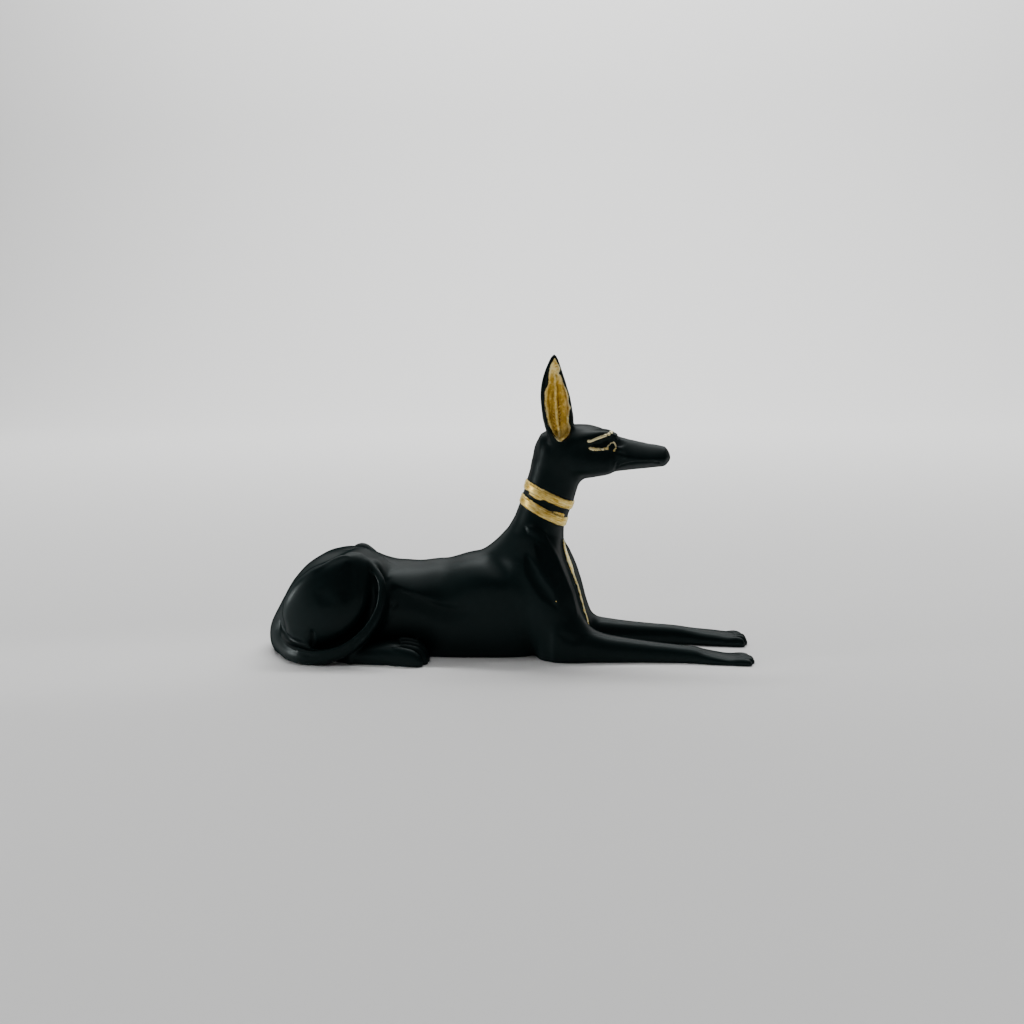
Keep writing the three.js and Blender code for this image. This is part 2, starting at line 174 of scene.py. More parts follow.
# %% A path, and the distance from it
def smooth_path(places, pieces=6):
    """A smooth curve through a few places, as many short steps."""
    places = np.asarray(places, float)
    ends = np.vstack([2 * places[0] - places[1], places, 2 * places[-1] - places[-2]])
    t = np.linspace(0, 1, pieces, endpoint=False)[:, None]
    steps = []
    for a, b, c, d in zip(ends, ends[1:], ends[2:], ends[3:]):
        steps.append(0.5 * (2 * b + (c - a) * t + (2 * a - 5 * b + 4 * c - d) * t**2
                            + (3 * b - a - 3 * c + d) * t**3))
    return np.vstack(steps + [places[-1:]])


def from_path(points, path):
    """How far each point is from the path, and how far along the path it is, from 0 to 1."""
    best = np.full(len(points), 1e9)
    share = np.zeros(len(points))
    lengths = np.linalg.norm(np.diff(path, axis=0), axis=1)
    start = np.concatenate([[0], np.cumsum(lengths)])
    for a, b, length, begun in zip(path, path[1:], lengths, start):
        along = np.clip((points - a) @ (b - a) / max(length * length, 1e-9), 0, 1)
        away = np.linalg.norm(points - a - along[:, None] * (b - a), axis=1)
        nearer = away < best
        best = np.where(nearer, away, best)
        share = np.where(nearer, (begun + along * length) / start[-1], share)
    return best, share


class Roll:
    """A round roll of clay along a path, with a radius that changes along it."""

    def __init__(self, places, radii, melt=1.0):
        self.path, self.melt = smooth_path(places), melt
        self.radii = smooth_path(np.array(radii, float)[:, None])[:, 0]
        reach = max(radii) + melt + 1.5
        self.low, self.high = self.path.min(0) - reach, self.path.max(0) + reach

    def distance(self, points):
        away, share = from_path(points, self.path)
        return away - np.interp(share, np.linspace(0, 1, len(self.radii)), self.radii)


# %% [markdown]
# ### The forms of the body
#
# The tables below are read off the figure: the back line, the belly, the breast, the neck. The
# plain solid in the frame has the same outline, so the cast that comes out of the clay fills the
# same space.

# %% Trunk, breast and neck
trunk_rows = [
    # x, top, bottom, half width, height of the widest line, power
    (-100.8, 9.6, 5, 2.5, 7.5, 2), (-99.4, 12.4, 1.5, 7, 7.5, 2.1), (-96.4, 17.4, -6, 12, 9, 2.2),
    (-92.8, 23.2, -12, 14.8, 10.5, 2.5), (-87.6, 31, -14, 18.6, 12, 2.8), (-81, 37.4, -14, 21.8, 14, 3),
    (-74, 40.8, -14, 23, 15, 3.1), (-66.6, 42, -14, 22.6, 15, 2.9), (-59, 40.8, -14, 20.6, 17, 2.7),
    (-52, 38.6, -24, 18.8, 27, 1.9), (-44, 37.2, -28, 18.4, 27.5, 1.75), (-36, 37, -28, 18.4, 25, 1.7),
    (-26, 38, -26, 18.6, 22.5, 1.8), (-16, 40.3, -20, 19, 25, 2), (-6, 41, -16, 19.2, 28, 2.1),
    (4, 39, -12, 18.6, 28, 2.2), (14, 30, -6, 15, 18, 2.3),
]
trunk = Loft([row(*values) for values in trunk_rows], X, Y, Z, caps=(2.5, 6))

breast_rows = [
    # height, front, back, half width, power
    (-6, 33, -10, 9, 2.2), (4, 33.9, -12, 13, 2.2), (10, 33.9, -12, 16, 2.2), (18, 32, -12, 17.8, 2),
    (26, 30, -12, 18, 1.9), (33, 27.8, -12, 17, 1.7), (39, 25.4, -9, 15.2, 1.6), (44, 23.5, -4, 12.4, 1.6),
    (49, 22.2, 2, 9, 1.8), (54, 21.4, 8, 5.6, 2),
]
KEEL_Y = 1.5  # the edge of the breast lies a little to the far side
breast_sections = [row(z, front, back, half, power=power, across=KEEL_Y)
                   for z, front, back, half, power in breast_rows]
breast = Loft(breast_sections, Z, Y, X, caps=(0.6, 5), melt=5)

NECK_LEAN = np.radians(18.4)
neck_along = np.array([np.sin(NECK_LEAN), 0, np.cos(NECK_LEAN)])
neck_front = np.array([np.cos(NECK_LEAN), 0, -np.sin(NECK_LEAN)])
neck_base = np.array([5.0, 0, 32])
neck_rows = [
    # distance up the neck, front, back, half width
    (-8, 16, -12, 9), (-3, 19, -15, 13), (6, 17.6, -13.8, 14.2), (12, 15, -11.4, 12.8),
    (18, 12.8, -9.3, 11.2), (24, 12, -8.2, 10), (30, 12.2, -7.9, 9.1), (36, 12.5, -8, 8.8),
    (42, 12.4, -8.2, 8.8), (47, 13, -8.7, 8.9), (52, 12, -9, 8.6), (57, 9, -8.2, 7.4), (60, 6, -6, 5),
]
neck = Loft([row(t, front, back, half, power=2.1) for t, front, back, half in neck_rows],
            neck_along, Y, neck_front, caps=(6, 3), melt=5, origin=neck_base)
print("trunk, breast and neck:", len(trunk_rows) + len(breast_rows) + len(neck_rows), "sections")

# %% [markdown]
# ### Shoulders and forelegs
#
# The upper arm hangs from beside the neck down to the elbow, and the foreleg runs from there along
# the table to the paw. The near paw came out of the mould slimmer than the far one.

# %% Shoulders, forelegs and hind feet
shoulder_rows = [
    # height, middle x, middle y, half length, half width, how far the near one is set back in front
    (50, 12, 4.5, 4, 2, 0.6), (45.5, 13.2, 7, 8.5, 4.6, 1.8), (40, 14.9, 9.4, 11.1, 7, 2.6),
    (33.5, 17.2, 10.6, 11.5, 8.2, 2.2), (27, 19, 11.4, 11.6, 8.6, 1.5), (20, 20.6, 11.8, 11.7, 8.8, 1),
    (13, 22.8, 12.2, 11.8, 8.5, 0.3), (6, 24.6, 12.8, 11.4, 7.8, 0), (-4, 25.4, 13, 10.4, 7.2, 0),
]


def shoulder(side):
    rows = [row(z, x + length - (back if side == NEAR else 0), x - length, half, across=side * y)
            for z, x, y, length, half, back in shoulder_rows]
    return Loft(rows, Z, Y, X, caps=(0.6, 3), melt=6)


foreleg_rows = [
    # x, middle y, top of the near leg, top of the far leg, half width
    (20, 13.4, 17, 16, 7.4), (29, 13.8, 15, 13.4, 7.4), (35.5, 14, 12.4, 10.9, 6.8),
    (42, 14, 10.2, 9.8, 6), (50, 13.8, 8.8, 8.9, 5.2), (60, 13.6, 7.4, 8.1, 4.5),
    (70, 13.6, 6.4, 7.4, 4.2), (76.5, 13.6, 5.8, 6.5, 4.5), (80.5, 13.6, 4.7, 6, 5.2),
    (85, 13.6, 3.7, 5.6, 5.7), (89, 13.6, 3, 5.1, 5.9), (93, 13.6, 2.7, 4.6, 6), (96.6, 13.6, 2.2, 3.6, 5.4),
]
hind_foot_rows = [
    # x, middle y, top, half width
    (-86, 14, 4, 5), (-76, 16, 5, 6), (-66, 19.6, 6.4, 6.6), (-57, 22.6, 7.4, 6.4), (-50, 23.4, 8.2, 6.2),
    (-45, 23.6, 8.6, 6.3), (-41, 23.7, 8.4, 6.4), (-37.6, 23.7, 6.8, 6),
]
BURIED = 3.0  # how far a limb's section reaches below the table, before it is cut flat
WIDEST = 0.42  # where a limb is widest, as a share of its height


def limb(side, rows, melt):
    sections = [row(x, top, -BURIED, half, WIDEST * top, across=side * y) for x, y, top, half in rows]
    return Loft(sections, X, Y, Z, caps=(2, 3), melt=melt)


def foreleg(side):
    rows = [(x, y, near if side == NEAR else far, half) for x, y, near, far, half in foreleg_rows]
    return limb(side, rows, melt=4)


# %% Toes
TOES = 4
# each profile has a share of the length, and there a share of the width and of the height
fore_paw = {
    "tip": 100, "middle": 13.6, "spread": 6.3, "length": 13,
    "height": {NEAR: 2.7, FAR: 4.3}, "fan": 0.06, "slant": 0.04,
    "profile": [(0, 0.6, 0.4), (0.35, 0.9, 0.86), (0.7, 1, 1), (0.9, 0.95, 0.84), (1, 0.8, 0.56)],
}
hind_paw = {
    "tip": -28, "middle": 24, "spread": 7.2, "length": 15,
    "height": {NEAR: 8.3, FAR: 8.3}, "fan": 0.08, "slant": -0.1,
    "profile": [(0, 0.8, 0.92), (0.35, 0.92, 1), (0.7, 1, 0.9), (0.9, 0.92, 0.66), (1, 0.7, 0.44)],
}
SET_BACK = 0.22  # how far the outer toes lie behind the middle ones, as a share of the paw's half width
OVERLAP = 1.14  # how much wider a toe is than its share of the paw


def toes(side, tip, middle, spread, length, height, fan, slant, profile):
    """The toes of one paw, side by side, with the middle ones ahead."""
    radius = spread / TOES
    made = []
    for share in np.linspace(-1, 1, TOES):
        end = tip - SET_BACK * spread * share**2
        rows = []
        for along, wide, high in profile:
            back = length * (1 - along)
            y = side * (middle + share * (spread - radius) - fan * share * back)
            tall = height[side] * high * (1 + slant * share)
            rows.append(row(end - back, tall, -BURIED, OVERLAP * radius * wide, 0.4 * tall, 2, y))
        made.append(Loft(rows, X, Y, Z, caps=(4, 1.6), melt=0.5))
    return made


print("toes on one paw:", len(toes(NEAR, **fore_paw)))

# %% [markdown]
# ### Haunch, shin and tail
#
# The thigh is a flat egg on the flank, with a rounded edge, and the tail runs round it in a deep
# groove. The egg's outline is a closed curve seen from the side, and its face bulges outwards.

# %% The thigh, a plate with a curved outline
thigh_outline = smooth_path([
    (-89.4, 18), (-88.2, 23.8), (-85.4, 28.8), (-81.2, 33.4), (-75.6, 37.4), (-68.8, 40.1), (-64.6, 42),
    (-60.4, 43.3), (-55.8, 42.2), (-53, 37.6), (-52.2, 29), (-53.6, 21.4), (-57.6, 14.4), (-64, 9.4),
    (-71.6, 6.4), (-78.4, 6), (-84, 7.8), (-87.8, 11.4), (-89.4, 18)], pieces=4)


def inside_outline(points, outline):
    """Distance from a closed outline, negative inside it. Both have two columns."""
    away = np.full(len(points), 1e9)
    wound = np.zeros(len(points), bool)
    for a, b in zip(outline, outline[1:]):
        run = b - a
        along = np.clip((points - a) @ run / max(run @ run, 1e-9), 0, 1)
        away = np.minimum(away, np.linalg.norm(points - a - along[:, None] * run, axis=1))
        crosses = (a[1] > points[:, 1]) != (b[1] > points[:, 1])
        wound ^= crosses & (points[:, 0] < run[0] * (points[:, 1] - a[1]) / (run[1] or 1e-9) + a[0])
    return np.where(wound, -away, away)


def melted(a, b, melt):
    """The nearer of two surfaces, rounded off over a given distance where they meet."""
    share = np.clip(0.5 + 0.5 * (b - a) / melt, 0, 1)
    return b + (a - b) * share - melt * share * (1 - share)


def shared(a, b, melt):
    """What lies inside both, rounded off where their surfaces meet."""
    return -melted(-a, -b, melt)


class Plate:
    """A plate on the flank: an outline seen from the side, and a face that bulges outwards."""

    ROUNDER = ((-88.0, -66.0), (1.25, 1.0))  # towards the rump the edge is rounder

    def __init__(self, side, outline, centre, reach, bulge, edge, melt):
        self.side, self.outline, self.centre = side, outline, np.array(centre, float)
        self.reach, self.bulge, self.edge, self.melt = reach, bulge, edge, melt
        xz_low, xz_high = outline.min(0) - melt - 2, outline.max(0) + melt + 2
        ends = sorted((side * 6.0, side * (reach + melt + 2)))
        self.low = np.array([xz_low[0], ends[0], xz_low[1]])
        self.high = np.array([xz_high[0], ends[1], xz_high[1]])

    def distance(self, points):
        flat = points[:, [0, 2]]
        from_centre = np.linalg.norm((flat - self.centre) / self.bulge[:2], axis=1)
        face = self.reach - self.bulge[2] * from_centre**2
        edge = self.edge * np.interp(points[:, 0], *self.ROUNDER)
        return shared(inside_outline(flat, self.outline), self.side * points[:, 1] - face, edge)


# the far thigh sits further back and lower, and is plainer
THIGH_MOVED = {NEAR: (0.0, 0.0), FAR: (-3.0, -6.4)}
BED_MOVED = {NEAR: (5.4, 0.6), FAR: (-4.0, -4.0)}


def thigh(side):
    outline = thigh_outline + np.array(THIGH_MOVED[side])
    return Plate(side, outline, centre=(-70.5, 21), reach=28.4, bulge=(19, 19, 5.2), edge=3.6, melt=1.8)


def thigh_bed(side):
    """The floor of the groove between the thigh and the tail."""
    outline = thigh_outline * (1, 0.92) + np.array(BED_MOVED[side])
    return Plate(side, outline, centre=(-66, 24), reach=21.8, bulge=(19, 19, 3.5), edge=4, melt=3)


# the crest of the far hip shows behind the back line
far_hip_places = [
    (-72, 18.6, 33.6), (-69.4, 19, 37.2), (-65.7, 19.2, 38.5), (-62.2, 19, 37.2), (-60, 18.6, 33.6)]
far_hip = Roll(far_hip_places, [1.9, 1.8, 2.3, 1.7, 1.8], melt=2.6)


# %% Shins and the tail
shin_rows = [
    # height, x, reach to the side
    (-4, -60, 28.2), (4.5, -58.4, 28.4), (10.5, -53.4, 28), (17, -49, 26.4), (25, -47.4, 23.2),
    (30.4, -49, 18.6), (35, -52.6, 12),
]
SHIN_INSIDE, SHIN_HALF = 9, 2.3  # how near the middle of the body it starts, and half its thickness


def shin(side):
    rows = [row(z, x + SHIN_HALF, x - SHIN_HALF, (reach - SHIN_INSIDE) / 2, power=2.4,
                across=side * (reach + SHIN_INSIDE) / 2) for z, x, reach in shin_rows]
    return Loft(rows, Z, Y, X, caps=(0.6, 2), melt=3)


root_places = [(-92, 8, 7), (-93.8, -4, 6.2), (-92, -12.6, 5), (-87, -20.4, 4), (-79, -25.8, 3.2)]
tail_root = Roll(root_places, [3, 3.7, 4, 4, 3.4], melt=7)
tail_places = [
    (-90, -10, 4.6), (-86.6, -20.6, 4), (-80, -27.2, 3.2), (-72.6, -29.4, 2.8), (-65.4, -29.8, 4.2),
    (-59, -29.2, 7.2), (-53.8, -28, 11.4), (-49.8, -26.6, 16.4), (-47.2, -25, 22), (-46.4, -23.4, 27.4),
    (-47, -21.4, 31.8), (-49.2, -19.2, 35.2), (-52.2, -17.2, 38), (-55.4, -15.8, 40), (-58.4, -15, 41.2),
]
tail_radii = np.array([3.2, 4, 4.2, 3.9, 3.5, 3.0, 2.6, 2.2, 1.9, 1.7, 1.5, 1.4, 1.3, 1.1, 0.8])
tail = Roll(tail_places, tail_radii)
# a fine edge runs along the tail on the thigh's side
THIGH_MIDDLE = np.array([-71.0, 0, 24])
EDGE_OUT = 0.62  # how far towards the thigh and outwards the edge lies, as a share of the tail's radius
towards_thigh = THIGH_MIDDLE - np.array(tail_places, float) * (1, 0, 1)
towards_thigh /= np.linalg.norm(towards_thigh, axis=1)[:, None]
edge_places = tail_places + tail_radii[:, None] * (EDGE_OUT * towards_thigh - EDGE_OUT * Y)
tail_edge = Roll(edge_places[2:], 0.16 * tail_radii[2:] + 0.3, melt=0.7)
print("tail, mm:", round(float(np.linalg.norm(np.diff(tail.path, axis=0), axis=1).sum())))

# %% [markdown]
# ### The head
#
# The skull and the muzzle are one loft, from the back of the head to the nose. Two small lofts add
# what a jackal's face has besides: the lower jaw, and the cheeks that stop short behind the mouth.

# %% Skull, jaw, cheeks and brows
head_rows = [
    # x, top, underside, half width, height of the widest line, power
    (13.8, 86, 78.4, 4, 82, 2), (15.2, 88.6, 76, 6, 82, 2.1), (18.6, 91.2, 74, 8.3, 82.6, 2.2),
    (23, 92.6, 72.4, 9.5, 83, 2.3), (28.5, 93.2, 71.6, 9.9, 82.6, 2.3), (33.5, 93.1, 71.6, 9.6, 82.4, 2.3),
    (38, 92.1, 72.4, 8.6, 82, 2.3), (41.6, 90.6, 73.2, 7.4, 81.4, 2.3), (44.6, 89, 74, 6.1, 80.6, 2.2),
    (47.5, 87.9, 74.3, 6.6, 80.2, 1.5), (53, 86.5, 74.9, 6.5, 79.6, 1.35), (59, 85.2, 75.5, 5.9, 79.2, 1.35),
    (63.8, 84.3, 76, 4.9, 79.2, 1.4), (67, 83.2, 77.2, 3.2, 79.6, 1.8),
]
head = Loft([row(*values) for values in head_rows], X, Y, Z, caps=(2, 2.2), melt=3)
cheek_rows = [
    # x, top, underside, half width
    (26, 84, 73.6, 5.4), (34, 83.4, 73.2, 6), (40, 82, 73.4, 5), (44.4, 80.4, 74.2, 3.4),
]
CHEEK_Y = 3.4


def cheek(side):
    rows = [row(*values, across=side * CHEEK_Y) for values in cheek_rows]
    return Loft(rows, X, Y, Z, caps=(4, 1.8), melt=1.6)


def brow(side):
    """The bony rim over the eye, which the gold stroke follows."""
    places = [(31, side * 7.6, 87), (37, side * 7, 88.4), (41.5, side * 5.9, 89), (45, side * 4.6, 88.2)]
    return Roll(places, [1.2, 1.8, 1.8, 1.0], melt=2.4)


# %% [markdown]
# ### The ears
#
# An ear is a tall leaf, rounded behind and hollow in front, turned to the side and a little
# forward. The leaf is a loft, and a second loft cuts the hollow out of it, leaving a rim.

# %% Ears
EAR_WALL = 1.15
EAR_TURN = np.radians(27)
ear_rows = [
    # height, middle x, middle y, half breadth, depth behind the rim
    (82.5, 24.3, 6.6, 2.4, 3.2), (87, 23.9, 7.4, 4.3, 4.2), (91.5, 23.4, 8, 5.6, 4.9),
    (97, 22.8, 8.6, 6.3, 5), (103, 22.1, 9.2, 6.2, 4.6), (109, 21.5, 9.8, 5.2, 3.8),
    (114.5, 21.4, 10.3, 3.5, 2.8), (118.4, 21.6, 10.7, 1.9, 1.7), (120.9, 21.8, 10.9, 0.7, 0.7),
]
FAR_EAR_SWEEP = 0.04  # how far the far ear leans back, for each millimetre of height
# what is drawn on both ears is moved by the far ear's lean half way up
EAR_SWEPT = {NEAR: np.zeros(2), FAR: np.array([FAR_EAR_SWEEP * 18, 0])}


def ear_frame(side):
    """Directions of one ear: along its breadth towards the nose, and out of its opening."""
    breadth = np.array([np.cos(EAR_TURN), -side * np.sin(EAR_TURN), 0])
    opening = np.array([np.sin(EAR_TURN), side * np.cos(EAR_TURN), 0])
    return breadth, opening


def ear_row(side, z, x, y, half, depth, wall, front):
    """One section of an ear, or of its hollow when it has a wall to leave."""
    breadth, opening = ear_frame(side)
    sweep = FAR_EAR_SWEEP * (z - ear_rows[0][0]) if side == FAR else 0.0
    place = np.array([x - sweep, side * y, 0])
    across, out = place @ breadth, place @ opening
    return (z, across, out, half - wall, front * depth, depth - wall, 2.0)


def ear_leaf(side):
    rows = [ear_row(side, *values, wall=0, front=0.42) for values in ear_rows]
    return Loft(rows, Z, *ear_frame(side), caps=(1, 1.6), melt=2.2)


def ear_hollow(side):
    rows = [ear_row(side, z, x, y, half, 0.74 * depth, EAR_WALL, front=2.5)
            for z, x, y, half, depth in ear_rows if 85 < z < 119]
    return Loft(rows, Z, *ear_frame(side), caps=(5, 4), melt=0.9)


# %% [markdown]
# ### All the clay together
#
# The order matters a little, because each lump melts into what is there before it. Big lumps come
# first, and the tail is laid on last. To save time, a lump is only asked about points near it.

# %% All the lumps in order
lumps = [trunk, breast, neck]
for side in (NEAR, FAR):
    lumps += [shoulder(side), foreleg(side), thigh_bed(side), shin(side), limb(side, hind_foot_rows, melt=3)]
    lumps += toes(side, **fore_paw) + toes(side, **hind_paw) + [thigh(side), cheek(side), brow(side)]
lumps += [head, ear_leaf(NEAR), ear_leaf(FAR), far_hip, tail_root, tail, tail_edge]
hollows = [ear_hollow(NEAR), ear_hollow(FAR)]
print("lumps of clay:", len(lumps), "hollows:", len(hollows))


def within(lump, points):
    return np.all((points > lump.low) & (points < lump.high), axis=1)


def bare_clay(points):
    """Distance from the joined lumps, before any line is pressed in."""
    value = np.full(len(points), 20.0)
    for lump in lumps:
        here = within(lump, points)
        if here.any():
            value[here] = melted(value[here], lump.distance(points[here]), lump.melt)
    for hollow in hollows:
        here = within(hollow, points)
        if here.any():
            value[here] = shared(value[here], -hollow.distance(points[here]), hollow.melt)
    return value


# %% [markdown]
# ### Lines pressed in and lines raised
#
# A line on the figure is written as it is seen from the side, by its x and its height. To lay it on
# the clay, each of its places is moved in from the side until it meets the surface.

# %% Laying a line on the clay
BESIDE, AHEAD = 34.0, 48.0  # places outside the clay, at its side and in front of the breast
STEPS, SHARE_OF_WAY, LONGEST_STEP = 60, 0.7, 2.0


def moved_in(points, direction, clay=bare_clay):
    """Moves points along a direction until they meet the surface, each time by a part of their distance."""
    for _ in range(STEPS):
        step = np.clip(SHARE_OF_WAY * clay(points), 0, LONGEST_STEP)
        points = points + step[:, None] * direction
    return points


def laid(side, spots, clay=bare_clay):
    """Places on the surface, straight in from one side at the given x and height."""
    spots = np.asarray(spots, float)
    outside = np.stack([spots[:, 0], np.full(len(spots), side * BESIDE), spots[:, 1]], 1)
    return moved_in(outside, -side * Y, clay)


# %% A line's own relief
class Line:
    """A line on the surface, raised by a height or, if that is negative, pressed in."""

    def __init__(self, places, half_width, height, taper=(0.5, 0.5), flat=0.0):
        self.path, self.half_width, self.height = smooth_path(places), half_width, height
        self.taper, self.flat = taper, flat
        self.low, self.high = self.path.min(0) - half_width, self.path.max(0) + half_width

    def width_at(self, share):
        start = self.taper[0] + (1 - self.taper[0]) * np.clip(share / 0.25, 0, 1)
        end = self.taper[1] + (1 - self.taper[1]) * np.clip((1 - share) / 0.25, 0, 1)
        return self.half_width * np.minimum(start, end)

    def relief(self, points):
        away, share = from_path(points, self.path)
        width = self.width_at(share)
        ratio = np.clip((away / width - self.flat) / (1 - self.flat), 0, 1)
        return self.height * width / self.half_width * (1 - ratio**2) ** 2


def eased(value):
    value = np.clip(value, 0, 1)
    return value * value * (3 - 2 * value)


class Fold(Line):
    """A line pressed in on its lower side only, as under the edge of a fold."""

    FADE = 2.6  # height over which the fold's upper side fades away

    def relief(self, points):
        share = from_path(points, self.path)[1]
        lengths = np.linalg.norm(np.diff(self.path, axis=0), axis=1)
        reached = np.concatenate([[0], np.cumsum(lengths)]) / lengths.sum()
        under = np.interp(share, reached, self.path[:, 2]) - points[:, 2]
        return super().relief(points) * eased(0.4 + under / self.FADE)


# %% Lines of the body
haunch_lines = [
    # places seen from the side, half width, height, and how much of the width is left at both ends:
    # soft dimples in the thigh, the nick at its foot, the lit ridge on top of it
    ([(-60.4, 39), (-60, 34), (-60.2, 29.6), (-61.4, 25.4)], 4, -1.3, (0.4, 0.3)),
    ([(-71, 28), (-69, 27), (-67, 25.6)], 4.4, -0.4, (0.6, 0.6)),
    ([(-74.4, 14), (-74.8, 10.6), (-75, 7.6)], 1.4, -1, (0.2, 1)),
    ([(-78.6, 33.8), (-75.4, 36), (-71.6, 38), (-67.4, 40.4), (-63, 42.1), (-59, 41.6)],
     1.7, 0.6, (0.1, 0.2)),
    # the groove goes on round the foot of the thigh, above a fine edge on the tail
    ([(-92, 14.2), (-90.4, 11), (-86.8, 9.2), (-83, 8), (-78.3, 7.2), (-74.5, 6.2)],
     2, -1.4, (0.3, 0.8)),
    ([(-90.6, 8.6), (-87, 7.2), (-83, 6.2), (-78.6, 5.6), (-74, 5.4)], 0.9, 0.3, (0.2, 0.6)),
    # the small crease before the tail
    ([(-44.4, 20.2), (-42.6, 22), (-41.2, 23.6)], 1.3, -0.4, (0.3, 0.3)),
]
flank_spots = [(-45.4, 32), (-42, 29.4), (-37, 27.2), (-31.6, 25.4), (-24.2, 22.8), (-16, 21.4), (-8, 22)]
shoulder_lines = [
    # the two furrows of the shoulder, the breast's edge, the lit front of the neck, the elbow
    ([(15, 45.6), (18.6, 40.4), (20.9, 36.8), (23.4, 31.6)], 3.6, -1.8, (0.5, 0.2)),
    ([(10.4, 42), (13.1, 35.6), (16, 31), (19.4, 26.5), (22.8, 22)], 3.2, -1.2, (0.4, 0.2)),
    ([(16.8, 51.4), (19.4, 45.6), (23.2, 38.8), (26, 32.4), (28.4, 26.7), (30.6, 18.6)],
     2.2, 0.5, (0.2, 0.3)),
    ([(9.6, 53.4), (12.6, 51.6), (16, 49.2), (18, 47)], 2.8, 1, (0.2, 0.6)),
    ([(23.4, 12.2), (29, 9.6), (35, 10.6)], 2.6, -0.4, (0.2, 0.2)),
]


def drawn(side, line_rows):
    """Lines on the clay from rows of places seen from the side and a line's own measures."""
    return [Line(laid(side, spots), *measures) for spots, *measures in line_rows]


lines = drawn(NEAR, haunch_lines)
for side in (NEAR, FAR):
    lines.append(Fold(laid(side, flank_spots), 9, -1, (0.6, 0)))
    lines += drawn(side, shoulder_lines)
print("lines on the body:", len(lines))

# %% [markdown]
# ### Lines of the face
#
# Gold follows raised lines on the head: a brow stroke, a line behind the eye, and a ring round it.
# The eye itself is a smooth black almond inside the ring. The mouth is a fine groove.

# %% Lines of the face
gold_strokes = [
    # the brow, the line behind the eye, the ring round it: as above, and how flat the stroke's top is
    ([(34.8, 86.9), (35.8, 87), (37.6, 87.7), (39.6, 88.4), (41.4, 89), (42.8, 89.5), (44.1, 90)],
     0.64, 0.4, (1.3, 0.7), 0.3),
    ([(35.3, 84.1), (36.5, 83.8), (38.2, 83.6), (39.8, 83.6), (41.3, 83.7), (42.2, 84)],
     0.68, 0.4, (1.25, 0.9), 0.3),
    ([(42.3, 83.2), (42.2, 84.3), (42.7, 85.2), (43.5, 85.8), (44.3, 86.2), (45, 85.7), (45.4, 84.7),
      (45.3, 83.7), (44.7, 82.9)], 0.42, 0.3, (0.9, 0.9), 0.2),
]
face_lines = [
    # the mouth
    ([(46.3, 76), (47.4, 76.8), (49.1, 77.4), (52, 78), (57.3, 78.3), (61.5, 78.1), (66.4, 77.9)],
     0.75, -0.85, (0.6, 0.6)),
    # the front of the cheek, and the recess before it
    ([(45, 78.2), (44.5, 76.6), (44, 75)], 0.9, 0.3, (0.3, 0.8)),
    ([(46.2, 78.6), (45.9, 77), (45.5, 75.4)], 1.2, -0.6, (0.3, 0.6)),
    # the socket above the eye, the eye, the socket before it, the fold under it, the nostril
    ([(36.6, 85.8), (39.6, 86), (42, 87.3), (44.2, 88.2)], 1.5, -0.7, (0.3, 0.5)),
    ([(44, 85.6), (44, 83.6)], 0.8, 0.3, (0.9, 0.9)),
    ([(46, 87.6), (46.8, 85.8), (47.8, 84)], 2.6, -0.45, (0.6, 0.1)),
    ([(45.4, 81.8), (47.6, 81), (50, 80.6)], 2, 0.4, (0.5, 0.2)),
    ([(65.4, 81.6), (66.3, 80.9)], 0.55, -0.45, (0.8, 0.8)),
]
# two specks of pale gold were spilt on the near shoulder
spilt_specks = [([(22.3, 24.7), (22.5, 24.7)], 0.32, 0), ([(27.6, 12.1), (27.8, 12.1)], 0.32, 0)]
gold_lines = drawn(NEAR, spilt_specks)
for side in (NEAR, FAR):
    strokes = drawn(side, gold_strokes)
    gold_lines += strokes
    lines += strokes + drawn(side, face_lines)
print("lines in all:", len(lines))

# %% [markdown]
# ### The collar, the sash and the ears' ribs
#
# The collar is two raised bands, each in its own leaning plane. The sash is a narrow leaf and a
# ribbon down the valley of the breast. Inside each ear a rib runs up the middle.

# %% Collar
OUTSIDE = -9.0  # given for points that are nowhere near a gold area
SLOPE = 0.9  # width of the slope at the edge of what is raised
BAND_HEIGHT = 0.65
COLLAR_FOOT, COLLAR_TOP = 46.0, 75.0  # heights between which the bands lie
collar_bands = [
    # x and height of the band's middle, lean in degrees, half width
    (18.3, 64.95, 25.0, 1.85), (16.3, 58.6, 28.5, 1.9),
]


def inside_band(points, band):
    """How far inside one collar band a point is, along the neck."""
    x, height, lean, half = band
    lean = np.radians(lean)
    along = (points[:, 0] - x) * np.sin(lean) + (points[:, 2] - height) * np.cos(lean)
    on_neck = (points[:, 2] > COLLAR_FOOT) & (points[:, 2] < COLLAR_TOP)
    return np.where(on_neck, half - np.abs(along), OUTSIDE)


def collar_relief(points):
    return sum(BAND_HEIGHT * eased(0.35 + inside_band(points, band) / SLOPE) for band in collar_bands)


# %% Sash
SASH_Y = -1.5  # it was brushed a little towards the tail's side
SASH_HEIGHT = 0.8
sash_rows = np.array([
    # height, half width of the gold
    (4, 0.8), (15, 0.8), (25, 0.8), (32.5, 0.95), (35.5, 1.7), (38.5, 2), (43, 1.4), (46.4, 0.3),
])
sash_starts = [(AHEAD, SASH_Y, height) for height in sash_rows[:, 0]]
sash_path = moved_in(np.array(sash_starts), -X)


def inside_sash(points):
    """How far inside the sash a point is, across the breast."""
    half = np.interp(points[:, 2], *sash_rows.T)
    breast_x = np.interp(points[:, 2], sash_path[:, 2], sash_path[:, 0])
    on_breast = (points[:, 2] > sash_rows[0, 0]) & (points[:, 2] < sash_rows[-1, 0])
    on_breast &= points[:, 0] > breast_x - 3
    return np.where(on_breast, half - np.abs(points[:, 1] - SASH_Y), OUTSIDE)


def sash_relief(points):
    return SASH_HEIGHT * eased(0.5 + inside_sash(points) / SLOPE)


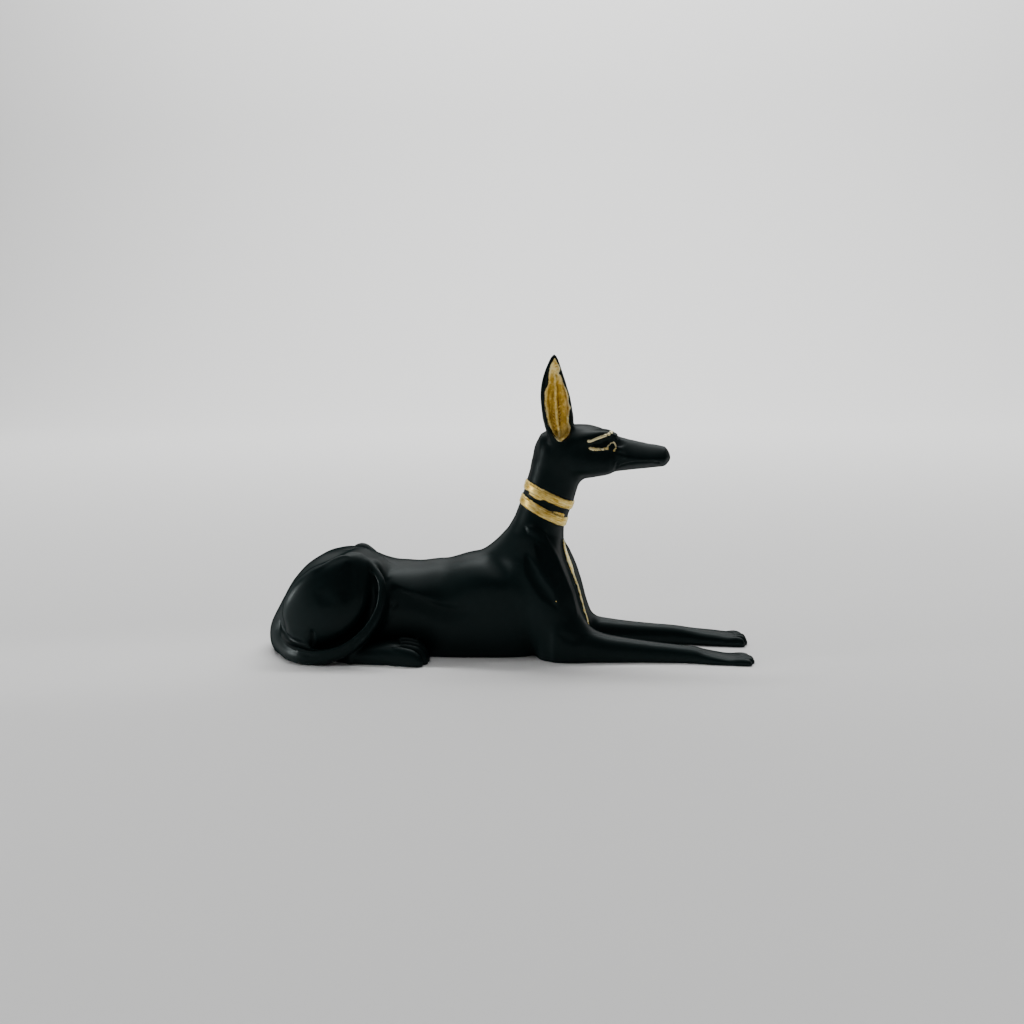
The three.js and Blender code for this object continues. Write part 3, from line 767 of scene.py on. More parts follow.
# %% Gold in the ears, and their ribs
ear_gold_outline = smooth_path([
    (22, 119.4), (23.1, 118.4), (23.7, 116.4), (23.8, 114.8), (23.3, 113.4), (24.2, 112.6), (24.6, 110.9),
    (25.3, 109.2), (26.2, 107.2), (26.8, 104.6), (27.1, 101.7), (27.9, 100.2), (27.3, 98.8), (26.8, 96.4),
    (26.9, 94.4), (27.6, 92.2), (27.1, 90.1), (25.6, 87.9), (23.5, 86.8), (21.6, 88.6), (20.1, 91.3),
    (18.9, 94.6), (18.2, 98.8), (17.8, 103.2), (18.1, 107), (19.1, 109.7), (19.4, 112.9), (20.1, 116.1),
    (20.7, 118.3), (22, 119.4)], pieces=3)
rib_spots = [(21.8, 112), (21.8, 107.4), (21.8, 103.4), (22, 99.8), (22.2, 95.4), (22.8, 91.2), (23.2, 88.8)]
ear_rims = [
    [(20.6, 115), (19.2, 110), (18.7, 105), (18.8, 100), (19.6, 95), (21, 91)],
    [(24.2, 111), (25.6, 107.4), (26.6, 103), (27, 99), (26.4, 95), (26.6, 91.4), (25, 88.6)],
]
GOLD_OVER_RIM = 0.95  # how far the gold goes up and over the edge of the hollow
ribs = []
for side in (NEAR, FAR):
    for spots in ear_rims:
        lines.append(Line(laid(side, np.array(spots) - EAR_SWEPT[side]), 0.9, 0.45, (0.3, 0.3)))
    ribs.append(Line(laid(side, np.array(rib_spots) - EAR_SWEPT[side]), 1.4, 1.5, (0.7, 0.4)))
lines += ribs


def inside_ear_gold(points):
    """How far inside the gold of an ear a point is."""
    value = np.full(len(points), OUTSIDE)
    for side, hollow in zip((NEAR, FAR), hollows):
        here = within(hollow, points)
        there = points[here]
        sweep = FAR_EAR_SWEEP * (there[:, 2] - ear_rows[0][0]) if side == FAR else 0.0
        flat = np.stack([there[:, 0] + sweep, there[:, 2]], 1)
        in_hollow = GOLD_OVER_RIM - hollow.distance(there)
        value[here] = np.minimum(-inside_outline(flat, ear_gold_outline), in_hollow)
    return value


# %% [markdown]
# ## From clay to cast
#
# Now every point has a distance: the clay, less what is raised, cut flat at the table. The surface
# is where that distance is zero. It is found on a grid: each small cube with corners on both
# sides gets one vertex, and each grid edge that crosses the surface gets one square face. That
# method, surface nets, gives a closed mesh with faces of even size.


# %% The whole figure as one distance
GROUND_ROUND = 0.7  # rounding of the edge where the figure is cut flat
RELIEF_REACH = 3.5  # relief is only worked out this near to the surface


def figure(points):
    """Distance from the finished figure, negative inside."""
    value = bare_clay(points)
    near_surface = np.abs(value) < RELIEF_REACH
    there = points[near_surface]
    relief = collar_relief(there) + sash_relief(there)
    for line in lines:
        here = within(line, there)
        if here.any():
            relief[here] += line.relief(there[here])
    value[near_surface] -= relief
    return shared(value, -points[:, 2], GROUND_ROUND)


# %% A grid, fine only near the surface
CELL = 0.9  # millimetres
COARSE = 4  # cells along one side of a block
BARELY_IN = -0.02  # given to a corner that is filled
grid_low = np.array([-104.0, -38.0, -4.0])
grid_high = np.array([104.0, 36.0, 124.0])
blocks = np.ceil((grid_high - grid_low) / (CELL * COARSE)).astype(int)


def places_of(cells, step):
    return grid_low + (cells + 0.5) * step


def without_checkers(values):
    """Fills corners until no grid face has its corners in and out by turns.

    At such a face four faces of the skin would share an edge.
    """
    values = values.copy()
    for _ in range(6):
        for axis in range(3):
            turned = np.moveaxis(values, axis, 0)
            a, b, c, d = turned[:, :-1, :-1], turned[:, 1:, :-1], turned[:, :-1, 1:], turned[:, 1:, 1:]
            checker = ((a < 0) == (d < 0)) & ((b < 0) == (c < 0)) & ((a < 0) != (b < 0))
            for corner in (a, b, c, d):
                corner[checker & (corner >= 0)] = BARELY_IN
    return values


block_cells = np.stack(np.meshgrid(*map(np.arange, blocks), indexing="ij"), -1).reshape(-1, 3)
block_value = figure(places_of(block_cells, CELL * COARSE)).reshape(blocks)
values = np.kron(block_value, np.ones((COARSE,) * 3))
near_blocks = np.kron(np.abs(block_value) < 2.2 * CELL * COARSE, np.ones((COARSE,) * 3, bool))
fine_cells = np.argwhere(near_blocks)
values[near_blocks] = figure(places_of(fine_cells, CELL))
print("grid:", values.shape, "worked out at", len(fine_cells), "places")


# %% Surface nets
def surface_nets(values):
    """Vertices in grid steps, and square faces, of the surface where the values change sign."""
    inside = values < 0
    corners = [np.array([i, j, k]) for i in (0, 1) for j in (0, 1) for k in (0, 1)]
    size = np.array(values.shape) - 1
    filled = np.zeros(size, np.int8)
    for corner in corners:
        filled += inside[tuple(slice(c, c + n) for c, n in zip(corner, size))]
    cells = np.argwhere((filled > 0) & (filled < 8))
    number = np.full(values.shape, -1)
    number[tuple(cells.T)] = np.arange(len(cells))
    total, crossings = np.zeros((len(cells), 3)), np.zeros(len(cells))
    for start in corners:
        for axis in range(3):
            if start[axis] == 0:
                end = start + np.eye(3, dtype=int)[axis]
                a, b = values[tuple((cells + start).T)], values[tuple((cells + end).T)]
                crossed = (a < 0) != (b < 0)
                share = np.where(crossed, a / np.where(crossed, a - b, 1), 0)[:, None]
                total += np.where(crossed[:, None], cells + start + share * (end - start), 0)
                crossings += crossed
    faces = []
    for axis in range(3):
        one, other = np.eye(3, dtype=int)[(axis + 1) % 3], np.eye(3, dtype=int)[(axis + 2) % 3]
        here = tuple(slice(0, -1) if a == axis else slice(1, -1) for a in range(3))
        ahead = tuple(slice(1, None) if a == axis else slice(1, -1) for a in range(3))
        for leaving in (True, False):
            edges = np.argwhere((inside[here] == leaving) & (inside[ahead] != leaving))
            edges += np.array([0 if a == axis else 1 for a in range(3)])
            around = [edges, edges - one, edges - one - other, edges - other]
            face = np.stack([number[tuple(cell.T)] for cell in around], 1)
            faces.append(face if leaving else face[:, ::-1])
    return total / crossings[:, None], np.vstack(faces)


vertices, faces = surface_nets(without_checkers(values))
vertices = places_of(vertices, CELL)
print("first skin:", len(vertices), "vertices,", len(faces), "faces")

# %% [markdown]
# ### Settling the skin
#
# The first skin lies within a fraction of a cell of the true surface. Each vertex is moved along the
# slope of the distance until the distance is zero. Where the form bends most, at rims, toes, lids and
# grooves, the faces are cut into four first, so that the vertices go where the detail is.


# %% Moving vertices onto the surface
def settled(vertices, rounds, reach=0.03):
    """Steps along the slope of the distance, until the distance is near zero."""
    for _ in range(rounds):
        value = figure(vertices)
        slope = np.stack([(figure(vertices + reach * axis) - value) / reach for axis in (X, Y, Z)], 1)
        step = value / np.maximum((slope**2).sum(1), 0.2)
        vertices = vertices - np.clip(step, -0.4, 0.4)[:, None] * slope
    return vertices


def normals_of(vertices, triangles):
    """The outward direction at each vertex, from the triangles around it."""
    a, b, c = (vertices[triangles[:, k]] for k in range(3))
    facing = np.cross(b - a, c - a)
    total = [np.bincount(triangles.ravel(), np.repeat(facing[:, k], 3), len(vertices)) for k in range(3)]
    total = np.stack(total, 1)
    return total / np.maximum(np.linalg.norm(total, axis=1), 1e-9)[:, None]


# %% Cutting the most bent faces into four
def edges_of(triangles):
    """Every edge once, and for each triangle the numbers of its three edges."""
    ends = np.stack([triangles, np.roll(triangles, -1, axis=1)], -1)
    edges, number = np.unique(np.sort(ends, axis=-1).reshape(-1, 2), axis=0, return_inverse=True)
    return edges, number.reshape(-1, 3)


def cut_finer(vertices, triangles, wanted):
    """Halves every edge of the wanted triangles. A neighbour with one or two cut edges is split to fit."""
    edges, of_triangle = edges_of(triangles)
    cut = np.zeros(len(edges), bool)
    cut[of_triangle[wanted].ravel()] = True
    middle = np.full(len(edges), -1)
    middle[cut] = len(vertices) + np.arange(cut.sum())
    vertices = np.vstack([vertices, vertices[edges[cut]].mean(1)])
    mids = middle[of_triangle]
    count = (mids >= 0).sum(1)
    made = [triangles[count == 0]]
    for turn in range(3):
        (a, b, c), (ab, bc, ca) = np.roll(triangles, -turn, 1).T, np.roll(mids, -turn, 1).T
        one = (count == 1) & (ab >= 0)
        made += [np.stack([a, ab, c], 1)[one], np.stack([ab, b, c], 1)[one]]
        two = (count == 2) & (ca < 0)
        made += [np.stack(face, 1)[two] for face in ([ab, b, bc], [a, ab, bc], [a, bc, c])]
    (a, b, c), (ab, bc, ca) = triangles[count == 3].T, mids[count == 3].T
    made += [np.stack(face, 1) for face in ((a, ab, ca), (ab, b, bc), (ca, bc, c), (ab, bc, ca))]
    return vertices, np.vstack(made)


def evened(vertices, triangles, rounds=2, share=0.35):
    """Moves each vertex along the surface towards the middle of its neighbours."""
    edges = edges_of(triangles)[0]
    start, end = np.vstack([edges, edges[:, ::-1]]).T
    number = np.bincount(start, minlength=len(vertices))[:, None]
    normal = normals_of(vertices, triangles)
    for _ in range(rounds):
        total = np.stack([np.bincount(start, vertices[end, k], len(vertices)) for k in range(3)], 1)
        pull = total / number - vertices
        vertices = vertices + share * (pull - (pull * normal).sum(1)[:, None] * normal)
    return vertices


# %% The finished skin
TRIANGLES_AT_MOST = 192000
ADDED_BY_A_CUT = 3.6  # triangles that one cut face brings, with its neighbours
triangles = np.vstack([faces[:, [0, 1, 2]], faces[:, [0, 2, 3]]])
vertices = settled(vertices, 1)
normals = normals_of(vertices, triangles)
bend = 1 - (normals[triangles] * np.roll(normals[triangles], 1, axis=1)).sum(-1).min(1)
finer = int((TRIANGLES_AT_MOST - len(triangles)) / ADDED_BY_A_CUT)
vertices, triangles = cut_finer(vertices, triangles, bend > np.sort(bend)[-finer])
vertices = evened(settled(vertices, 1), triangles)
vertices = settled(vertices, 2)
print("cast:", len(vertices), "vertices,", len(triangles), "triangles")

# %% [markdown]
# ### What the paint needs to know
#
# Four numbers go with each vertex: how far it lies inside a gold area, how light the gold is painted
# there, with painted shade and highlights in the ears, how deep it sits in a hollow, and how sharp a
# ridge it is on. The paint reads them, so gold follows the raised lines, the black is rougher in
# hollows, shade is painted into the hollows of the gold, and highlights onto the ridges of both paints.


# %% Numbers for the paint
# strokes that run over the edges of the collar: their places, half width, and whether they are gold
collar_strokes = [
    ([(7.6, 67.6), (10.3, 66.8), (13, 66)], 0.5, False),
    ([(11.6, 67.6), (13.9, 67.5)], 0.3, False),
    ([(11, 65.9), (12.8, 64.9), (14.9, 64), (16.6, 63.7)], 0.55, True),
    ([(20.2, 58.8), (22.7, 57.8), (25.4, 56.7)], 0.5, True),
    ([(22, 57.2), (25.6, 55.8)], 0.3, False),
]


def inside_gold(points):
    """How far inside the nearest gold area a point is, in millimetres."""
    value = np.maximum(inside_ear_gold(points), inside_sash(points))
    for band in collar_bands:
        value = np.maximum(value, inside_band(points, band))
    strokes = [(line, 0.85, True) for line in gold_lines]
    for spots, half, golden in collar_strokes:
        strokes.append((Line(laid(NEAR, spots), half, 0, (0.3, 0.3)), 1, golden))
    for line, share_of_width, golden in strokes:
        near_line = np.all((points > line.low - 2) & (points < line.high + 2), axis=1)
        if near_line.any():
            away, share = from_path(points[near_line], line.path)
            inside = share_of_width * line.width_at(share) - away
            there = value[near_line]
            value[near_line] = np.maximum(there, inside) if golden else np.minimum(there, -inside)
    return np.clip(value, -4, 4)


EAR_FOOT = 84.5
# in the ears the gold is painted dark as shade in the hollow, and light as highlight on the ribs and rims
EAR_SHADE_TONE, PLAIN_TONE, PALE_TONE, RIB_HIGHLIGHT_TONE, RIM_HIGHLIGHT_TONE = 0.06, 0.68, 0.88, 0.78, 0.62
painted_ear_highlights = [
    # painted highlights in the ears: x, height, reach, how much lighter: the tip, the front half way up, the
    # foot
    (22.9, 115.6, 6.5, 0.25), (26.6, 102, 2.4, 0.3), (25.8, 91.4, 4.2, 0.4), (23.6, 88, 3, 0.4),
]


def gold_tone(points, gold):
    """How light the gold is: painted shade deep in the ears, painted highlights on their ribs, rims and lit
    spots, and palest on fine strokes, partly as painted highlight.
    """
    high_up = points[:, 2] > EAR_FOOT
    tone = np.where(high_up, EAR_SHADE_TONE, PLAIN_TONE)
    # the sash and the fine strokes are pale gold, paler still as painted highlight
    tone += (PALE_TONE - PLAIN_TONE) * (inside_sash(points) > -1)
    for line in gold_lines:
        tone[within(line, points)] = PALE_TONE
    # a painted highlight along each rib
    for rib in ribs:
        here = within(rib, points)
        away, share = from_path(points[here] * (X + Z), rib.path * (X + Z))
        tone[here] += (RIB_HIGHLIGHT_TONE - EAR_SHADE_TONE) * (1 - eased(away / rib.width_at(share)))
    # painted highlights where light falls in the ears
    for x, height, reach, lighter in painted_ear_highlights:
        away = np.hypot(points[:, 0] - x, points[:, 2] - height)
        tone += high_up * lighter * (1 - eased(away / reach))
    # painted highlight on the rims, fading into the painted shade further in
    return tone + high_up * (RIM_HIGHLIGHT_TONE - EAR_SHADE_TONE) * (1 - eased((gold - 0.3) / 1.1))


FEEL = 1.3  # how far out and in the surface is felt for hollows and ridges, in millimetres
normals = normals_of(vertices, triangles)
gold = inside_gold(vertices)
tone = gold_tone(vertices, gold)
hollow = np.clip(1 - figure(vertices + FEEL * normals) / FEEL, 0, 1)
ridge = np.clip(1 + figure(vertices - FEEL * normals) / FEEL, 0, 1)
print("gold covers", round(float((gold > 0).mean()) * 100, 1), "% of the vertices")


# %% The cast as a Blender mesh
def mesh_object(name, vertices, faces, numbers=()):
    """A smooth-shaded object from the figure's millimetres, with named numbers on its vertices."""
    mesh = bpy.data.meshes.new(name)
    mesh.from_pydata(in_frame(vertices).tolist(), [], faces.tolist())
    for title, values in dict(numbers).items():
        attribute = mesh.attributes.new(title, "FLOAT", "POINT")
        attribute.data.foreach_set("value", np.asarray(values, np.float32))
    mesh.shade_smooth()
    made = bpy.data.objects.new(name, mesh)
    bpy.context.scene.collection.objects.link(made)
    return made


for_paint = {"gold": gold, "tone": tone, "hollow": hollow, "ridge": ridge}
cast = mesh_object("jackal_cast", vertices, triangles, for_paint)
check = bmesh.new()
check.from_mesh(cast.data)
loose_edges = sum(1 for edge in check.edges if len(edge.link_faces) != 2)
pinched = sum(1 for corner in check.verts if not corner.is_manifold)
print("edges without two faces:", loose_edges, " pinched corners:", pinched)
print("volume, cubic cm:", round(check.calc_volume() * 1e6, 1))
check.free()

# %% [markdown]
# ## Paint
#
# A material is a small sum: masks and noises are numbers, and the colours are mixed by them.
# The class below wraps a socket, so that such a sum is written as Python writes it.


# %% Shader maths in Python
class Number:
    """A socket that carries a number. Python's signs add the Math nodes."""

    def __init__(self, paint, socket):
        self.paint, self.socket = paint, socket

    def maths(self, operation, *others):
        inputs = {index: value for index, value in enumerate((self, *others))}
        return self.paint.node("ShaderNodeMath", {"operation": operation}, inputs)

    def __add__(self, other):
        return self.maths("ADD", other)

    __radd__ = __add__

    def __mul__(self, other):
        return self.maths("MULTIPLY", other)

    def __sub__(self, other):
        return self.maths("SUBTRACT", other)

    def __rsub__(self, other):
        return self.paint.node("ShaderNodeMath", {"operation": "SUBTRACT"}, {0: other, 1: self})

    def between(self, start, end):
        """0 at start and before, 1 at end and after, eased between."""
        inputs = {"Value": self, "From Min": start, "From Max": end}
        return self.paint.node("ShaderNodeMapRange", {"interpolation_type": "SMOOTHSTEP"}, inputs)


class Paint:
    """A material, built by one method that adds any node."""

    def __init__(self, name):
        self.material = bpy.data.materials.new(name)
        self.material.use_nodes = True
        self.tree = self.material.node_tree
        self.tree.nodes.clear()
        self.place = self.node("ShaderNodeTexCoord", {}, {}, "Object")

    def node(self, kind, settings, inputs, output=0):
        made = self.tree.nodes.new(kind)
        for name, value in settings.items():
            if name == "stops":
                ramp = made.color_ramp
                while len(ramp.elements) < len(value):
                    ramp.elements.new(0.5)
                for element, (position, colour) in zip(ramp.elements, value):
                    element.position, element.color = position, (*colour, 1)
            else:
                setattr(made, name, value)
        for name, value in inputs.items():
            if isinstance(value, Number):
                self.tree.links.new(value.socket, made.inputs[name])
            else:
                made.inputs[name].default_value = value
        return Number(self, made.outputs[output])

    def attribute(self, name):
        return self.node("ShaderNodeAttribute", {"attribute_name": name}, {}, "Fac")

    def noise(self, scale, detail=2.0, roughness=0.5, at=None):
        inputs = {"Vector": at or self.place, "Scale": scale, "Detail": detail, "Roughness": roughness}
        return self.node("ShaderNodeTexNoise", {}, inputs, 0)

    def stretched(self, by, lean=0.0):
        """Places drawn out along each axis, after a turn about y."""
        inputs = {"Vector": self.place, "Rotation": (0, lean, 0), "Scale": by}
        return self.node("ShaderNodeMapping", {"vector_type": "TEXTURE"}, inputs)

    def mix(self, share, first, second):
        """Two colours, mixed by a number. A plain colour is given as three numbers."""
        first, second = (c if isinstance(c, Number) else (*c, 1) for c in (first, second))
        return self.node("ShaderNodeMix", {"data_type": "RGBA"}, {0: share, 6: first, 7: second}, 2)

    def ramp(self, value, stops):
        return self.node("ShaderNodeValToRGB", {"stops": stops}, {"Fac": value})

    def bump(self, height, distance, strength):
        inputs = {"Height": height, "Distance": distance, "Strength": strength}
        return self.node("ShaderNodeBump", {}, inputs)

    def shader(self, kind, sockets):
        made = self.tree.nodes.new(kind)
        for name, value in sockets.items():
            socket = made.inputs[name.replace("_", " ")]
            if isinstance(value, Number):
                self.tree.links.new(value.socket, socket)
            else:
                socket.default_value = value if isinstance(value, (int, float)) else (*value, 1)
        return made

    def finish(self, dullness=None, **sockets):
        """The finished material. Where it is dull, a matt coat of the same colour shows instead."""
        surface = self.shader("ShaderNodeBsdfPrincipled", sockets)
        if dullness is not None:
            matt = self.shader("ShaderNodeBsdfDiffuse", {"Color": sockets["Base_Color"]})
            mixed = self.shader("ShaderNodeMixShader", {"Fac": dullness})
            self.tree.links.new(surface.outputs[0], mixed.inputs[1])
            self.tree.links.new(matt.outputs[0], mixed.inputs[2])
            surface = mixed
        output = self.tree.nodes.new("ShaderNodeOutputMaterial")
        self.tree.links.new(surface.outputs[0], output.inputs[0])
        return self.material


# %% [markdown]
# ### Black spray, gold by brush
#
# The black is a satin spray: smooth, a little orange-peeled, slightly rougher where dust lies, mottled
# with dust, and lighter on ridges as a painted sheen. The gold is thick, stirred bronze paint put on by
# hand. Its edges waver by a fraction of a millimetre, its hollows are painted darker amber as shade and
# its ridges lighter as highlight, and it carries the streaks of the brush.

# %% The paint of the cast
BLACK = (0.0012, 0.0054, 0.0056)
DUST_AND_SHEEN = (0.003, 0.0086, 0.0086)
AMBER, MID_GOLD, BRIGHT_GOLD = (0.18, 0.078, 0.0006), (0.6, 0.35, 0.032), (1, 0.75, 0.24)
# the palest gold, reached on the fine strokes and lit ridges, is a painted highlight
CREAM_HIGHLIGHT = (1, 0.88, 0.52)

paint = Paint("black_and_gold_paint")
gold_in, in_hollow, on_ridge, tone = (paint.attribute(name) for name in ("gold", "hollow", "ridge", "tone"))
waver = (paint.noise(420, 3) - 0.5) * 0.9 + (paint.noise(2300, 2) - 0.5) * 0.3
waver = waver * (1 - tone.between(0.85, 0.94) * 0.75)
skipped = paint.noise(640, 2, 0.7).between(0.66, 0.7)
gold_mask = (gold_in + waver).between(-0.08, 0.1) * (1 - skipped * gold_in.between(1.1, 0.2))

height_of = paint.node("ShaderNodeSeparateXYZ", {}, {"Vector": paint.place}, "Z")
in_ear = height_of.between((EAR_FOOT - 1) * MM, EAR_FOOT * MM) * gold_in.between(0.1, 0.5)
round_neck = paint.noise(1500, 3, 0.6, paint.stretched((5, 5, 0.7), np.radians(26)))
up_the_ear = paint.noise(1300, 3, 0.6, paint.stretched((0.8, 0.8, 5)))
streaks = round_neck * (1 - in_ear) + up_the_ear * in_ear
patches = paint.noise(330, 3, 0.6)
crusts = paint.noise(1000, 2, 0.6)
# how light the gold is: its tone, brush streaks and patches, lighter on ridges as painted highlight and
# darker in hollows as painted shade
gold_depth = tone + (streaks - 0.5) * (1.2 - in_ear * 0.8) + (patches - 0.5) * 0.6
gold_depth = gold_depth + on_ridge * 0.4 - in_hollow * 0.3 + in_ear * (crusts - 0.5) * 0.5
gold_depth = gold_depth.maths("MINIMUM", 1 - in_ear * 0.13)
gold_colour = paint.ramp(gold_depth, [(0.1, AMBER), (0.48, MID_GOLD), (0.8, BRIGHT_GOLD), (1, CREAM_HIGHLIGHT)])

spray = paint.noise(3200, 2)
cloudy = paint.noise(90, 3)
# the black is lighter where dust lies at random, and lighter on ridges as a painted sheen
black_colour = paint.mix(cloudy * 0.5 + on_ridge * 0.4, BLACK, DUST_AND_SHEEN)
glancing = paint.node("ShaderNodeLayerWeight", {}, {"Blend": 0.5}, "Facing").between(0.4, 0.95)
black_rough = 0.36 + cloudy * 0.08 + in_hollow * 0.1 + (spray - 0.5) * 0.05 + glancing * 0.25
gold_rough = 0.3 + patches * 0.2 + in_hollow * 0.15

brushed = streaks * 0.5 + in_ear * crusts * 1.2
height = gold_mask * 0.6 + spray * 0.1 * (1 - gold_mask) + gold_mask * brushed
cast.data.materials.append(paint.finish(
    dullness=glancing * glancing * 0.95 * (1 - gold_mask),
    Base_Color=paint.mix(gold_mask, black_colour, gold_colour),
    Metallic=gold_mask * 0.65,
    Roughness=gold_mask * gold_rough + (1 - gold_mask) * black_rough,
    Normal=paint.bump(height, 0.00012, 0.8),
    Specular_IOR_Level=0.13,
    Specular_Tint=(0.85, 1.0, 1.0),
))
print("paint nodes:", len(paint.tree.nodes))

# %% [markdown]
# ## Strokes in the ears
#
# Short raised strokes of gold lie on both sides of each rib, like the barbs of a feather, and across
# the ear's tip. They repeat along a line, so Geometry Nodes set them: a small bead is drawn out to
# a stroke and set once every step along a path, turned the way the strokes lie there.

# %% Where the strokes lie
stroke_lines = [
    # places seen from the side, the direction in which each stroke points, and its length
    ([(23.1, 100.4), (23.2, 97.8), (23.7, 95)], (0.75, 0.66), 1.4),
    ([(22.6, 95), (23, 91)], (0.8, 0.6), 1.5),
    ([(22.2, 117.2), (22.3, 110.8)], (1, 0.12), 2.4),
    ([(24.9, 108.8), (25.8, 106)], (0.7, -0.7), 1.2),
    ([(20.8, 98.6), (21.3, 91.6)], (-0.6, 0.8), 1.1),
    ([(25, 92.4), (24.4, 88.8)], (0.6, 0.8), 1.5),
]
HALF_STEP = 0.5  # millimetres from a stroke's place to where its lie is felt, ahead and behind


def line_of_strokes(side, spots, pointing):
    """Places along a line on the finished figure, and the way a stroke lies at each."""
    spots = smooth_path(spots) - EAR_SWEPT[side]
    step = HALF_STEP * np.array(pointing)
    ahead = laid(side, spots + step, clay=figure)
    behind = laid(side, spots - step, clay=figure)
    along = ahead - behind
    return (ahead + behind) / 2, along / np.linalg.norm(along, axis=1)[:, None]


places, edges, lies, lengths = [], [], [], []
for side in (NEAR, FAR):
    for spots, pointing, length in stroke_lines:
        where, lie = line_of_strokes(side, spots, pointing)
        edges += [(len(places) + i, len(places) + i + 1) for i in range(len(where) - 1)]
        places += where.tolist()
        lies += lie.tolist()
        lengths += [length] * len(where)
guide = bpy.data.meshes.new("ear_strokes")
guide.from_pydata(in_frame(places).tolist(), edges, [])
for title, kind, field, values in (
    ("lie", "FLOAT_VECTOR", "vector", lies),
    ("length", "FLOAT", "value", lengths),
):
    attribute = guide.attributes.new(title, kind, "POINT")
    attribute.data.foreach_set(field, np.array(values, np.float32).ravel())
ear_strokes = bpy.data.objects.new("ear_strokes", guide)
bpy.context.scene.collection.objects.link(ear_strokes)
print("guide lines:", 2 * len(stroke_lines), "with", len(places), "places")


# %% The node tree that sets them
def stroke_tree():
    tree = bpy.data.node_groups.new("strokes_along_a_line", "GeometryNodeTree")
    tree.interface.new_socket("Geometry", in_out="INPUT", socket_type="NodeSocketGeometry")
    for name in ("Spacing", "Thickness"):
        tree.interface.new_socket(name, in_out="INPUT", socket_type="NodeSocketFloat")
    tree.interface.new_socket("Paint", in_out="INPUT", socket_type="NodeSocketMaterial")
    tree.interface.new_socket("Geometry", in_out="OUTPUT", socket_type="NodeSocketGeometry")

    def node(kind, settings=(), **inputs):
        made = tree.nodes.new(kind)
        for name, value in dict(settings).items():
            setattr(made, name, value)
        for name, value in inputs.items():
            socket = made.inputs[name.replace("_", " ")]
            if isinstance(value, bpy.types.NodeSocket):
                tree.links.new(value, socket)
            else:
                socket.default_value = value
        return made.outputs[0]

    given = tree.nodes.new("NodeGroupInput").outputs
    line = node("GeometryNodeMeshToCurve", Mesh=given["Geometry"])
    steps = node("GeometryNodeResampleCurve", {"mode": "LENGTH"}, Curve=line, Length=given["Spacing"])
    bead = node("GeometryNodeMeshUVSphere", Segments=8, Rings=6, Radius=0.5)
    length = node("GeometryNodeInputNamedAttribute", {"data_type": "FLOAT"}, Name="length")
    in_metres = node("ShaderNodeVectorMath", {"operation": "SCALE"}, Scale=MM)
    size = node("ShaderNodeCombineXYZ", X=given["Thickness"], Y=given["Thickness"], Z=length)
    tree.links.new(size, in_metres.node.inputs[0])
    lie = node("GeometryNodeInputNamedAttribute", {"data_type": "FLOAT_VECTOR"}, Name="lie")
    turned = node("FunctionNodeAlignRotationToVector", {"axis": "Z"}, Vector=lie)
    uneven = tree.nodes.new("FunctionNodeRandomValue")
    uneven.data_type = "FLOAT"
    for name, value in (("Min", 0.7), ("Max", 1.2)):
        socket = next(s for s in uneven.inputs if s.name == name and s.type == "VALUE")
        socket.default_value = value
    uneven.inputs["Seed"].default_value = 4
    by = next(s for s in uneven.outputs if s.type == "VALUE")
    scale = node("ShaderNodeVectorMath", {"operation": "SCALE"}, Scale=by)
    tree.links.new(in_metres, scale.node.inputs[0])
    lying = {"Rotation": turned, "Scale": scale}
    set_down = node("GeometryNodeInstanceOnPoints", Points=steps, Instance=bead, **lying)
    real = node("GeometryNodeRealizeInstances", Geometry=set_down)
    smooth = node("GeometryNodeSetShadeSmooth", Geometry=real)
    painted = node("GeometryNodeSetMaterial", Geometry=smooth, Material=given["Paint"])
    tree.links.new(painted, tree.nodes.new("NodeGroupOutput").inputs[0])
    return tree


# %% The strokes as a plain mesh
thick_gold = Paint("thick_gold_paint")
lightness = thick_gold.noise(900, 2).between(0.3, 0.7)
stroke_colour = thick_gold.mix(lightness, MID_GOLD, BRIGHT_GOLD)
gold_paint = thick_gold.finish(
    Base_Color=stroke_colour, Metallic=0.8, Roughness=0.36, Specular_IOR_Level=0.13)
stroke_sizes = {"Spacing": 0.0013, "Thickness": 0.55, "Paint": gold_paint}
setter = ear_strokes.modifiers.new("strokes", "NODES")
setter.node_group = stroke_tree()
for item in setter.node_group.interface.items_tree:
    if item.name in stroke_sizes:
        setter[item.identifier] = stroke_sizes[item.name]
ready = ear_strokes.evaluated_get(bpy.context.evaluated_depsgraph_get())
stroke_mesh = bpy.data.meshes.new_from_object(ready)
ear_strokes.modifiers.clear()
ear_strokes.data = stroke_mesh
if stroke_mesh.materials[0] is None:
    stroke_mesh.materials.pop(index=0)  # the bead brings an empty slot of its own
print("strokes:", len(stroke_mesh.vertices), "vertices,", [slot.name for slot in stroke_mesh.materials])

# %% [markdown]
# ## The table, the light and the camera
#
# The figure stands on a pale table that has no edge. One broad soft light hangs above, a little
# behind, and gives the long grey sheen on the back and the shoulder. The sides reflect a dark room,
# as black paint shows every lamp it meets.

